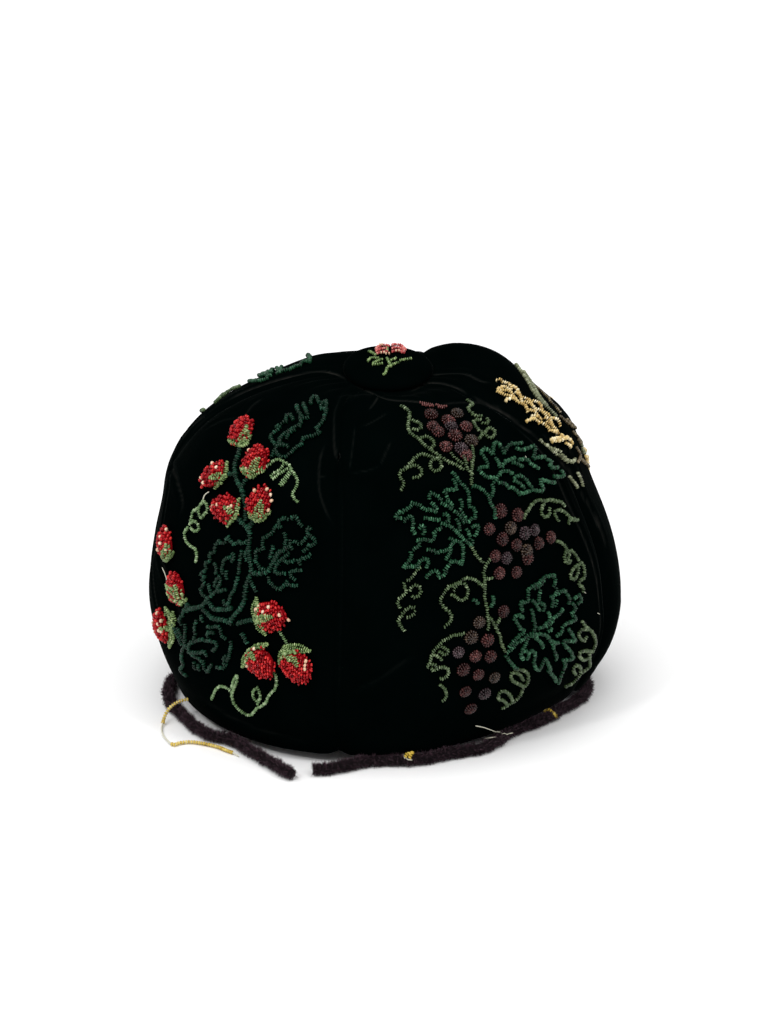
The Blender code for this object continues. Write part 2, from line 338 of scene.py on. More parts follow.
GORES = {"strawberry": 3, "grape": 3, "wheat": 2, "vine": 2}
velvet = {}
for gore, levels in GORES.items():
    velvet[gore] = rounded("velvet_" + gore, "gore_" + gore, levels)
    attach(velvet[gore], "root")
    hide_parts("gore_" + gore)
velvet["button"] = rounded("velvet_button", "crown_button", 2)
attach(velvet["button"], "root")
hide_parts("crown_button")
print({name: len(piece.data.polygons) for name, piece in velvet.items()})


# %% Where a ray meets the velvet
def tree_of(objects):
    """One search tree for the faces of several objects."""
    points = []
    faces = []
    for piece in objects:
        start = len(points)
        points += [vert.co.copy() for vert in piece.data.vertices]
        faces += [[start + i for i in face.vertices] for face in piece.data.polygons]
    return BVHTree.FromPolygons(points, faces)


CLOTH = tree_of(velvet.values())


def sewn(x, y, tree=CLOTH):
    """The place and the outward direction of the cloth, still unfolded, at a point of the picture."""
    place, out, _, _ = tree.ray_cast(EYE, ray(x, y))
    if place is None:
        return None
    return place, (out if out.dot(EYE - place) > 0 else -out)


print("the velvet at the picture's middle:", sewn(384, 560)[0])

# %% [markdown]
# The solids keep a small gap along each seam. On the real cap the gores are sewn together, so the
# edges of the copies are drawn towards each other, and the hem is let down onto the edging.

# %% Draw the gores together
# how far the nearest edge may be at a seam, how much further at the rim, and how far a point moves
SEAM_REACH = 0.0016
HEM_REACH = 0.0040
SEAM_PULL = 0.55
# the hem's heights, and how far it is let down
HEM_TOP = 0.014
HEM_FOOT = 0.0063
HEM_DROP = 0.0028


def hem_share(place):
    """How near the rim a place is: 1 at the rim and 0 at the top of the hem."""
    return min(1.0, max(0.0, (HEM_TOP - place.z) / (HEM_TOP - HEM_FOOT)))


def close_seams(pieces):
    """Moves the edges of neighbouring gores together over the solids' small gap, and lowers the rim."""
    others = [tree_of([other for other in pieces if other is not piece]) for piece in pieces]
    for piece, tree in zip(pieces, others):
        for vert in piece.data.vertices:
            share = hem_share(vert.co)
            place, _, _, _ = tree.find_nearest(vert.co, SEAM_REACH + HEM_REACH * share)
            if place is not None:
                vert.co = vert.co.lerp(place, SEAM_PULL)
            vert.co.z -= HEM_DROP * share
        piece.data.update()


close_seams([velvet[gore] for gore in GORES])
print("seams closed between", len(GORES), "gores")

# %% [markdown]
# A fold is pressed in by moving the points near its line along their own normals. A narrow hollow
# with a low ridge on both sides reads as a crease, and along its line the pile is paler: partly
# rubbed, partly a painted sheen.

# %% Places on the hidden sides
# a point inside the cap, and how far from it is well outside
HEART = Vector((0.0, 0.0, 0.05))
OUTSIDE = 0.3


def towards(angle, rise):
    """The direction from the cap's heart at that angle from the front and that rise."""
    turn = math.radians(angle)
    tilt = math.radians(rise)
    return Vector((math.sin(turn) * math.cos(tilt), -math.cos(turn) * math.cos(tilt), math.sin(tilt)))


def met(way):
    """The place and the normal of the cloth in that direction from the heart."""
    place, normal, _, _ = CLOTH.ray_cast(HEART + way * OUTSIDE, -way)
    return place, normal


print("the cloth at the back:", met(towards(180, 0))[0])

# %% Press the folds in
# all in widths of the fold or shares of its depth
FOLD_REACH = 5
RIDGE_AT = 1.9
RIDGE_SPREAD = 0.8
RIDGE_SHARE = 0.5
WEAR_AND_SHEEN_NARROWER = 2.2
# a fold starts and ends in a sixth of its length
FADE_STEEPNESS = 6


def fold_lines():
    """Each charted fold as width, depth, share of wear and painted sheen, and its points on the cloth."""
    for width, depth, wear_and_sheen, line in FOLDS:
        spots = [sewn(*point) for point in smooth(line, 8)]
        kept = [spot[0] for spot in spots if spot]
        if len(kept) > 1:
            yield width / 1000, depth / 1000, wear_and_sheen, kept
    for width, depth, wear_and_sheen, line in HIDDEN_FOLDS:
        spots = [met(towards(*point))[0] for point in smooth(line, 8)]
        yield width / 1000, depth / 1000, wear_and_sheen, [spot for spot in spots if spot]


def press(piece, folds):
    """Moves the cloth in along the folds and notes where its pile is paler, from wear and a painted sheen.
    """
    mesh = piece.data
    count = len(mesh.vertices)
    places = np.empty(count * 3)
    mesh.vertices.foreach_get("co", places)
    places = places.reshape(-1, 3)
    normals = np.array([vert.normal[:] for vert in mesh.vertices])
    moved = np.zeros(count)
    worn = np.zeros(count)
    for width, depth, wear_and_sheen, line in folds:
        dense = np.array([point[:] for point in evenly(line, 0.0008)])
        low = dense.min(axis=0) - FOLD_REACH * width
        high = dense.max(axis=0) + FOLD_REACH * width
        near = np.where(((places > low) & (places < high)).all(axis=1))[0]
        if not len(near):
            continue
        gaps = np.linalg.norm(places[near][:, None, :] - dense[None, :, :], axis=2)
        gap = gaps.min(axis=1) / width
        end = gaps.argmin(axis=1) / max(len(dense) - 1, 1)
        fade = np.clip(np.minimum(end, 1 - end) * FADE_STEEPNESS, 0.15, 1.0)
        ridge = RIDGE_SHARE * np.exp(-((gap - RIDGE_AT) ** 2) / RIDGE_SPREAD)
        moved[near] -= depth * (np.exp(-gap * gap) - ridge) * fade
        # a thin paler line along each fold's middle: partly wear, partly a painted sheen
        line_share = np.exp(-((gap * WEAR_AND_SHEEN_NARROWER) ** 2))
        worn[near] = np.maximum(worn[near], wear_and_sheen * fade * line_share)
    for place, reach, height in SWELLS:
        gap = np.linalg.norm(places - np.array(place), axis=1) / reach
        moved += height * np.exp(-gap * gap)
    places += normals * moved[:, None]
    mesh.vertices.foreach_set("co", places.ravel())
    layer = mesh.attributes.new("wear_and_sheen", "FLOAT", "POINT")
    layer.data.foreach_set("value", worn)
    mesh.update()


folds = list(fold_lines())
for name, piece in velvet.items():
    press(piece, [] if name == "button" else folds)
CLOTH = tree_of(velvet.values())
print("folds pressed:", len(folds))

# %% [markdown]
# Seed beads are short pieces cut from a drawn glass tube and rounded by heat. Here each is about
# 2 mm across and not quite 1 mm long, so it is a few picture points wide and a few dozen faces are
# enough. One bead is made, and thousands of copies of it are joined into one mesh for each colour.

# %% One bead
BEAD_WIDE = 0.0018
BEAD_LONG = 0.00098


def one_bead(end_width, end_place):
    """The points and faces of a bead that is one unit wide, and one unit long on Z."""
    shape = bmesh.new()
    bmesh.ops.create_uvsphere(shape, u_segments=8, v_segments=4, radius=0.5)
    for vert in shape.verts:
        reach = vert.co.xy.length
        if reach < 0.01:
            vert.co.z = math.copysign(0.34, vert.co.z)
        elif reach < 0.45:
            vert.co.xy *= end_width / 2 / reach
            vert.co.z = math.copysign(end_place, vert.co.z)
    points = np.array([vert.co[:] for vert in shape.verts])
    faces = [[vert.index for vert in face.verts] for face in shape.faces]
    shape.free()
    return points, faces


ROUND_BEAD = one_bead(0.66, 0.40)
LONG_BEAD = one_bead(0.86, 0.46)
print("faces in one bead:", len(ROUND_BEAD[1]))

# %% [markdown]
# The colours are a few rows: each kind of glass runs from a dark to a light tone, because beads from
# one batch are never quite alike. Every bead carries its own tone as an attribute on its points.

# %% The kinds of glass
GLASS = {
    "leaf_glass": ((0.001, 0.009, 0.004), (0.007, 0.042, 0.018), (0.050, 0.160, 0.082)),
    "dark_leaf_glass": ((0.0008, 0.007, 0.003), (0.0030, 0.022, 0.011), (0.014, 0.070, 0.040)),
    "stem_glass": ((0.015, 0.027, 0.009), (0.056, 0.094, 0.036), (0.210, 0.275, 0.150)),
    "pale_glass": ((0.040, 0.080, 0.028), (0.140, 0.240, 0.095), (0.400, 0.520, 0.300)),
    "red_glass": ((0.100, 0.001, 0.003), (0.320, 0.004, 0.008), (0.640, 0.032, 0.030)),
    "white_glass": ((0.450, 0.220, 0.120), (0.660, 0.430, 0.280), (0.820, 0.640, 0.480)),
    "calyx_glass": ((0.045, 0.085, 0.022), (0.165, 0.260, 0.085), (0.420, 0.520, 0.240)),
    "grape_glass": ((0.009, 0.002, 0.002), (0.034, 0.008, 0.007), (0.140, 0.046, 0.042)),
    "mauve_glass": ((0.007, 0.003, 0.004), (0.025, 0.012, 0.015), (0.090, 0.056, 0.064)),
    "brown_grape_glass": ((0.008, 0.004, 0.002), (0.028, 0.015, 0.009), (0.100, 0.066, 0.042)),
    "gold_glass": ((0.320, 0.190, 0.045), (0.640, 0.470, 0.180), (0.920, 0.840, 0.600)),
    "yellow_glass": ((0.420, 0.270, 0.020), (0.640, 0.450, 0.060), (0.820, 0.660, 0.200)),
    "olive_glass": ((0.050, 0.054, 0.026), (0.190, 0.210, 0.115), (0.480, 0.500, 0.350)),
    "petal_glass": ((0.280, 0.020, 0.030), (0.560, 0.110, 0.100), (0.820, 0.480, 0.400)),
    "brown_glass": ((0.030, 0.022, 0.010), (0.100, 0.075, 0.035), (0.260, 0.210, 0.120)),
}


def glass(name, tones, shine):
    """A glossy glass whose colour follows each bead's tone."""
    made, tree, shader = material(name, {"Roughness": 0.15, "Specular IOR Level": shine})
    dark, middle, light = tones
    tone = attribute(tree, "tone")
    colour = ramp(tree, tone, (0.0, dark), (0.55, middle), (1.0, light))
    tree.links.new(colour, shader.inputs["Base Color"])
    bump(tree, shader, noise(tree, 2600.0, 1.0), 0.00006, 0.5)
    return made


SHINE = 0.4
LOW_SHINE = {"leaf_glass": 0.22, "dark_leaf_glass": 0.18, "red_glass": 0.2, "grape_glass": 0.3}
KINDS = {name: glass(name, tones, LOW_SHINE.get(name, SHINE)) for name, tones in GLASS.items()}
print("kinds of glass:", len(KINDS))


# %% [markdown]
# A beader strings a few beads at a time and sews the thread down, so each strand here is one stitch
# along a line on the cloth. Its beads lie a little unevenly, and may stand up in its middle. Each bead
# is only noted at first, and then all the beads of one glass are made as one mesh.

# %% String beads, then join them
# how much the beads of one batch differ
TONE_SPREAD = 0.19
WIDE_SPREAD = 0.06
# a bead's middle over the cloth, its length of the pitch, and how unevenly it lies, as shares
SITS = 0.45
BEAD_SHARE = 0.79
ZIGZAG = 0.07
ASTRAY = 0.04
SHAKEN = 0.10
beads = []


def bead(place, along, out, long=BEAD_LONG, wide=BEAD_WIDE, tone=None):
    """Notes one bead: where it is, which way its hole runs, and which way is away from the cloth."""
    tone = chance.gauss(0.5, 0.2) if tone is None else tone + chance.gauss(0, TONE_SPREAD)
    beads.append((place, along, out, long, wide * chance.uniform(1 - WIDE_SPREAD, 1 + WIDE_SPREAD), tone))


def nearest(point, tree):
    """The cloth's place and outward direction nearest to a point."""
    place, out, _, _ = tree.find_nearest(point)
    return place, (-out if out.dot(place - HEART) < 0 else out)


def string(spots, pitch=BEAD_LONG, wide=BEAD_WIDE, arch=0.0, lift=0.0, slant=0.0, tone=None, tree=None):
    """Strings beads over places on the cloth, in one stitch that can stand up in its middle."""
    tree = tree or CLOTH
    spots = [spot for spot in spots if spot]
    if len(spots) < 2:
        return
    line = evenly([place + out * wide * SITS for place, out in spots], pitch)
    for i, point in enumerate(line):
        share = i / (len(line) - 1)
        place, out = nearest(point, tree)
        along = (line[min(i + 1, len(line) - 1)] - line[max(i - 1, 0)]).normalized()
        shaken = Vector([chance.gauss(0, SHAKEN) for _ in range(3)])
        along = along - out * along.dot(out)
        along = (along + along.cross(out) * slant + shaken).normalized()
        height = wide * SITS + lift + arch * math.sin(math.pi * share)
        aside = along.cross(out) * (ZIGZAG * (-1) ** i + chance.gauss(0, ASTRAY)) * wide
        bead(place + out * height + aside, along, out, pitch * BEAD_SHARE, wide, tone)


def join(name, kind, shape, replaced=()):
    """Makes one mesh of all beads noted since the last call, in that kind of glass."""
    points, faces = shape
    along = np.array([row[1][:] for row in beads])
    out = np.array([row[2][:] for row in beads])
    along /= np.linalg.norm(along, axis=1, keepdims=True)
    side = np.cross(along, out)
    side /= np.linalg.norm(side, axis=1, keepdims=True)
    out = np.cross(side, along)
    wide = np.array([row[4] for row in beads])[:, None, None]
    long = np.array([row[3] for row in beads])[:, None, None]
    x, y, z = (points[None, :, i, None] for i in range(3))
    spread = side[:, None] * x * wide + out[:, None] * y * wide + along[:, None] * z * long
    places = np.array([row[0][:] for row in beads])[:, None] + spread
    step = len(points)
    joined = [[v + step * i for v in face] for i in range(len(beads)) for face in faces]
    mesh = bpy.data.meshes.new(name)
    mesh.from_pydata(places.reshape(-1, 3).tolist(), [], joined)
    tone = mesh.attributes.new("tone", "FLOAT", "POINT")
    tones = np.clip(np.repeat([row[5] for row in beads], step), 0, 1)
    tone.data.foreach_set("value", tones)
    mesh.materials.append(KINDS[kind])
    mesh.shade_smooth()
    mesh.update()
    made = placed(name, mesh)
    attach(made, "root")
    if replaced:
        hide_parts(*replaced)
    print(name, "beads:", len(beads), "triangles:", sum(len(f) - 2 for f in faces) * len(beads))
    beads.clear()
    return made


def chart(lines, **how):
    """Strings beads along lines of picture points."""
    for line in lines:
        string([sewn(*point) for point in smooth(line, 5)], **how)


print("bead helpers ready")

# %% [markdown]
# The front right gore has a grape vine. Its stem and its curling tendrils are yellow-green, strung
# on a thread and caught down, so they are smooth lines of beads. They were charted from the photograph,
# one row for each curl, in the order in which a beader would work them.

# %% The vine's stem and tendrils
VINE = (
    ((401, 407), (405, 409), (409, 413), (409, 420), (408, 426), (409, 432), (413, 436), (418, 439)),
    ((410, 421), (414, 422), (419, 424), (421, 428), (417, 431), (413, 430)),
    ((419, 440), (423, 438), (428, 438), (432, 441), (434, 445), (431, 449)),
    ((420, 441), (423, 445), (427, 448), (432, 452), (438, 456), (444, 460), (449, 463)),
    ((449, 463), (455, 465), (460, 468), (463, 470)),
    ((451, 454), (454, 458), (457, 461), (462, 464)),
    ((463, 457), (465, 462), (466, 467), (469, 472)),
    ((472, 447), (472, 452), (473, 457), (472, 463), (471, 470), (471, 478), (471, 485)),
    ((440, 459), (435, 459), (430, 457), (424, 455), (420, 455), (416, 458)),
    ((414, 459), (412, 462), (409, 465)),
    ((409, 466), (404, 469), (400, 473), (400, 478), (404, 483), (403, 487), (401, 490)),
    ((406, 469), (411, 467), (416, 466), (420, 469), (422, 473), (419, 477), (413, 478)),
    ((436, 459), (431, 462), (430, 467), (433, 471), (438, 471), (441, 467), (440, 462), (437, 459)),
    ((467, 401), (470, 403), (472, 406), (469, 408), (468, 411), (471, 414), (475, 417), (481, 417)),
    ((480, 421), (476, 421), (473, 423), (475, 426)),
    ((482, 424), (486, 425), (488, 422), (487, 420)),
    ((476, 428), (478, 431), (482, 434), (480, 438), (478, 440)),
    ((484, 435), (486, 431), (490, 429), (494, 432), (494, 436), (490, 439), (486, 437)),
    ((470, 546), (473, 550), (475, 554), (478, 558), (482, 562)),
    ((489, 560), (486, 563), (484, 568), (483, 573), (484, 578), (484, 584), (484, 591)),
    ((484, 591), (484, 597), (485, 603), (487, 609)),
    ((484, 579), (488, 578), (491, 578)),
    ((487, 612), (487, 618), (488, 624), (487, 629)),
    ((489, 617), (493, 623), (496, 629), (499, 635), (500, 641), (502, 646), (504, 651)),
    ((499, 618), (497, 622), (495, 626)),
    ((420, 567), (417, 570), (414, 574), (411, 578), (407, 580)),
    ((404, 583), (405, 588), (406, 592), (402, 596), (398, 600), (398, 604), (400, 607)),
    ((410, 590), (412, 586), (417, 585), (420, 588), (420, 593), (416, 597), (412, 596)),
    ((415, 611), (412, 615), (407, 617)),
    ((414, 607), (409, 607), (404, 611), (401, 616), (398, 621), (401, 626), (404, 630)),
    ((484, 587), (480, 584), (475, 580), (470, 578), (464, 578), (459, 582), (454, 584), (448, 587)),
    ((464, 583), (467, 588), (467, 594), (465, 598), (460, 600), (456, 597), (451, 594)),
    ((453, 590), (455, 586), (460, 583)),
    ((448, 586), (445, 591), (442, 595), (440, 600), (442, 605), (447, 610), (451, 615), (450, 621)),
    ((450, 621), (447, 624), (444, 626)),
    ((463, 633), (458, 634), (452, 635), (447, 638), (442, 641), (438, 645), (434, 649)),
    ((441, 646), (445, 648), (448, 651), (444, 654), (439, 651)),
    ((433, 651), (431, 656), (430, 661), (427, 666)),
    ((434, 654), (438, 656), (441, 659)),
    ((428, 664), (432, 663), (436, 666), (434, 670), (431, 668)),
    ((437, 668), (442, 666), (447, 668), (448, 673), (444, 677), (440, 678)),
    ((440, 684), (444, 688), (446, 693), (445, 697), (442, 700)),
    ((514, 668), (519, 669), (524, 670), (527, 674), (527, 680), (524, 685), (518, 683), (512, 680)),
    ((512, 680), (510, 676), (511, 672), (516, 672), (520, 675), (522, 679)),
    ((522, 686), (521, 690), (519, 694), (516, 698), (512, 701)),
    ((512, 701), (510, 696), (506, 691), (501, 690), (498, 693), (498, 698), (502, 699), (506, 703)),
    ((512, 700), (507, 704), (501, 707)),
    ((523, 518), (525, 513), (528, 509)),
    ((529, 507), (532, 503), (537, 500), (543, 501), (549, 500), (554, 501), (559, 502), (563, 506)),
    ((543, 502), (541, 507), (540, 513), (544, 517), (548, 514), (548, 508)),
    ((557, 521), (554, 516), (553, 512), (558, 510), (563, 512), (567, 516), (570, 520), (577, 520)),
    ((567, 523), (569, 519), (572, 519)),
    ((556, 541), (560, 543), (564, 547), (565, 550)),
    ((568, 563), (564, 561), (563, 556), (565, 552), (570, 551), (574, 555), (577, 560)),
    ((568, 555), (566, 559), (569, 561)),
    ((578, 564), (573, 567), (570, 572), (569, 577), (573, 579), (576, 574), (577, 568)),
    ((579, 562), (582, 566), (583, 572), (583, 577), (579, 580), (577, 584), (581, 587), (582, 591)),
    ((581, 621), (584, 626), (589, 630), (593, 636), (594, 643), (592, 649)),
    ((587, 629), (581, 629), (577, 633), (579, 638), (583, 640), (585, 636)),
    ((591, 651), (585, 650), (579, 651), (578, 655), (582, 659), (587, 657)),
    ((588, 653), (588, 659), (588, 665), (584, 669), (580, 672), (576, 677), (571, 682), (565, 685)),
    ((579, 671), (579, 666), (575, 664), (572, 668), (574, 673)),
)
STEM = {"wide": 0.0017, "slant": 0.3, "tone": 0.5}
chart(VINE, **STEM)
join("beads_vine", "stem_glass", ROUND_BEAD)

# %% [markdown]
# The three vine leaves are drawn by short stitches, each of four to seven beads, that meet in sharp
# corners. A stitch with a bead too many stands up from the cloth, so each has a small arch.

# %% The vine's leaves
LEAVES = (
    ((492, 455), (492, 449), (494, 444), (498, 444)),
    ((498, 444), (500, 449), (503, 454)),
    ((503, 454), (505, 451), (507, 447), (511, 445), (516, 445), (521, 444)),
    ((515, 449), (520, 451), (525, 450), (530, 448)),
    ((530, 447), (533, 448), (533, 453), (532, 458)),
    ((533, 459), (538, 458), (543, 458)),
    ((546, 460), (550, 462), (548, 466)),
    ((550, 468), (556, 468)),
    ((559, 471), (561, 475), (558, 477), (552, 477)),
    ((553, 483), (547, 482), (541, 480)),
    ((539, 480), (539, 485), (542, 489)),
    ((541, 491), (536, 491), (531, 490)),
    ((513, 478), (518, 476), (523, 479), (527, 484), (531, 489)),
    ((513, 481), (518, 484), (523, 488)),
    ((518, 494), (522, 493), (528, 491)),
    ((498, 483), (503, 484), (508, 488)),
    ((510, 487), (514, 490), (518, 494)),
    ((491, 455), (487, 451), (483, 450), (480, 454)),
    ((481, 455), (484, 460), (487, 465)),
    ((487, 467), (483, 468), (478, 469)),
    ((478, 470), (482, 475), (487, 478), (493, 478)),
    ((495, 459), (497, 463), (499, 468)),
    ((501, 467), (504, 463), (508, 461), (514, 459)),
    ((511, 463), (516, 465), (521, 467)),
    ((517, 461), (523, 460), (528, 462)),
    ((529, 464), (533, 467), (537, 469)),
    ((496, 479), (498, 475), (501, 472)),
    ((501, 472), (506, 472), (511, 474)),
    ((496, 479), (493, 483)),
    ((491, 485), (492, 490), (490, 498)),
    ((472, 486), (478, 488), (484, 492)),
    ((486, 494), (488, 499), (490, 504)),
    ((490, 504), (493, 510), (494, 518)),
    ((452, 473), (456, 478), (460, 484)),
    ((453, 480), (455, 485), (456, 490)),
    ((462, 485), (465, 489), (468, 493)),
    ((468, 495), (468, 501), (469, 507)),
    ((471, 507), (474, 511), (474, 519)),
    ((471, 527), (475, 525), (478, 527)),
    ((478, 527), (476, 531), (474, 536)),
    ((472, 540), (471, 545)),
    ((455, 490), (450, 490), (444, 491)),
    ((444, 492), (446, 496), (447, 499)),
    ((429, 499), (429, 495), (431, 493)),
    ((431, 494), (436, 496), (441, 500)),
    ((431, 503), (434, 506), (437, 509)),
    ((441, 503), (446, 506), (451, 509)),
    ((446, 501), (450, 503), (452, 507)),
    ((424, 509), (418, 505), (411, 503)),
    ((411, 506), (406, 510), (400, 513)),
    ((400, 512), (396, 515), (396, 518), (401, 518)),
    ((404, 521), (407, 518), (411, 516)),
    ((412, 517), (413, 523), (412, 529), (415, 533)),
    ((419, 528), (422, 525), (424, 530), (423, 534)),
    ((426, 510), (431, 510), (436, 512)),
    ((424, 518), (431, 519), (439, 520)),
    ((443, 514), (447, 515), (448, 520), (444, 523)),
    ((441, 523), (446, 525), (450, 526)),
    ((450, 526), (455, 531), (460, 536)),
    ((460, 536), (465, 541), (471, 545)),
    ((454, 511), (459, 516), (463, 521)),
    ((463, 522), (468, 521), (471, 518)),
    ((460, 500), (461, 505), (460, 509)),
    ((460, 511), (463, 515), (465, 519)),
    ((456, 519), (458, 524), (459, 530)),
    ((466, 529), (468, 533), (469, 538)),
    ((441, 528), (436, 530), (433, 533)),
    ((434, 533), (434, 537), (431, 541)),
    ((431, 541), (425, 539), (417, 540)),
    ((418, 541), (419, 545), (413, 549)),
    ((411, 552), (411, 557), (409, 560)),
    ((409, 561), (405, 564), (404, 567)),
    ((405, 567), (410, 566), (415, 566)),
    ((427, 549), (432, 550), (437, 552)),
    ((438, 552), (444, 550), (449, 549)),
    ((450, 549), (450, 545), (453, 542)),
    ((453, 541), (458, 541), (462, 545)),
    ((462, 545), (462, 554), (461, 564)),
    ((461, 564), (456, 561), (450, 561)),
    ((450, 562), (447, 566), (444, 570)),
    ((449, 538), (454, 541)),
    ((445, 559), (448, 554), (450, 550)),
    ((426, 577), (429, 573), (432, 571)),
    ((432, 571), (436, 570), (438, 575)),
    ((439, 577), (443, 575), (446, 571)),
    ((418, 567), (419, 561), (424, 558), (428, 561), (426, 567)),
    ((526, 590), (530, 586), (535, 584)),
    ((535, 585), (539, 580), (543, 577)),
    ((543, 577), (548, 575), (553, 575)),
    ((533, 588), (538, 585), (542, 580)),
    ((553, 577), (553, 582), (552, 586)),
    ((555, 588), (554, 592), (552, 596)),
    ((550, 596), (551, 601), (550, 606)),
    ((553, 605), (555, 600)),
    ((527, 592), (526, 597), (527, 601)),
    ((539, 590), (537, 595), (537, 601)),
    ((531, 600), (535, 605), (538, 610)),
    ((537, 602), (542, 604), (542, 610)),
    ((524, 602), (519, 601), (519, 605), (521, 611)),
    ((513, 617), (517, 614), (522, 617)),
    ((513, 618), (516, 623), (519, 628), (523, 630)),
    ((530, 609), (531, 614), (532, 620)),
    ((533, 620), (533, 625), (533, 630)),
    ((547, 612), (548, 618), (545, 623)),
    ((545, 623), (541, 626), (537, 628)),
    ((561, 609), (557, 613), (553, 617)),
    ((552, 618), (549, 622), (545, 626)),
    ((550, 628), (547, 631)),
    ((529, 633), (536, 634)),
    ((529, 635), (536, 636)),
    ((538, 633), (543, 634), (548, 638)),
    ((549, 640), (553, 642), (557, 642)),
    ((551, 643), (552, 648)),
    ((553, 650), (554, 654), (555, 658)),
    ((534, 637), (538, 641), (542, 646)),
    ((527, 636), (524, 642), (522, 648)),
    ((521, 649), (519, 654), (522, 658)),
    ((523, 650), (527, 652), (526, 658)),
    ((529, 650), (533, 652), (533, 659)),
    ((532, 661), (534, 667), (537, 669)),
    ((538, 669), (540, 663), (543, 658)),
    ((544, 658), (547, 664), (549, 669)),
    ((547, 669), (551, 674), (555, 680)),
    ((557, 682), (558, 676), (561, 671)),
    ((562, 668), (563, 663), (562, 659)),
    ((563, 659), (568, 658), (572, 657)),
    ((571, 656), (569, 651), (566, 647)),
    ((565, 647), (562, 643), (562, 640)),
    ((563, 640), (568, 640), (574, 640)),
    ((573, 639), (570, 634), (567, 629)),
    ((555, 635), (559, 632), (561, 627)),
    ((561, 627), (564, 623), (569, 621), (574, 619)),
    ((574, 618), (571, 615)),
    ((571, 603), (573, 608), (570, 613)),
    ((573, 598), (577, 595), (579, 600), (576, 603)),
    ((567, 603), (567, 598), (564, 592)),
    ((564, 591), (560, 590), (557, 593)),
    ((506, 652), (511, 647), (515, 642)),
    ((515, 643), (520, 639), (526, 635)),
    ((508, 646), (513, 639), (518, 635)),
    ((518, 635), (521, 632), (523, 630)),
    ((505, 655), (508, 660)),
    ((509, 661), (512, 665), (516, 668)),
    ((473, 599), (477, 603)),
    ((492, 596), (492, 601), (490, 606)),
)
STITCHES = {"arch": 0.0005, "pitch": 0.00092}
chart(LEAVES, tone=0.52, **STITCHES)
join("beads_leaves", "leaf_glass", LONG_BEAD)

# %% [markdown]
# The front left gore has the strawberry plant. Its stems and its crinkled leaves are of a much darker
# green, so they hardly show on the black until the light catches them. Its tendrils and two fruit
# stalks are nearly white-green, of beads strung close on a thread.

# %% The strawberry plant's dark stems
DARK_STEMS = (
    ((241, 450), (240, 455), (238, 460), (236, 465), (236, 470), (237, 475), (238, 480), (240, 484)),
    ((240, 484), (242, 488), (244, 493), (245, 499), (247, 505), (247, 511), (247, 520)),
    ((226, 474), (231, 475), (236, 475)),
    ((249, 478), (246, 482), (243, 487)),
    ((237, 517), (241, 520), (245, 524), (249, 528)),
    ((254, 521), (251, 526), (250, 530)),
    ((251, 531), (251, 538), (250, 545), (250, 552), (251, 558), (252, 564), (253, 570)),
    ((253, 570), (252, 575), (249, 580), (247, 586)),
    ((246, 592), (246, 598), (244, 604), (241, 609), (238, 612), (235, 616), (232, 620)),
    ((255, 573), (261, 573), (267, 572), (271, 568), (274, 562), (276, 557), (279, 553), (291, 546)),
    ((210, 598), (207, 602), (203, 606), (198, 607), (193, 608), (189, 610)),
    ((211, 602), (213, 606), (217, 609), (222, 609), (228, 609), (233, 608)),
    ((205, 609), (209, 613), (213, 617), (218, 619), (224, 619), (229, 621), (233, 623)),
    ((239, 623), (244, 621), (250, 620), (255, 619)),
    ((243, 633), (246, 638), (248, 642)),
    ((189, 604), (192, 607)),
    ((175, 623), (178, 630), (181, 638), (184, 644)),
)
chart(DARK_STEMS, pitch=0.00092, wide=0.0022, tone=0.55)
join("beads_dark_stems", "dark_leaf_glass", LONG_BEAD)

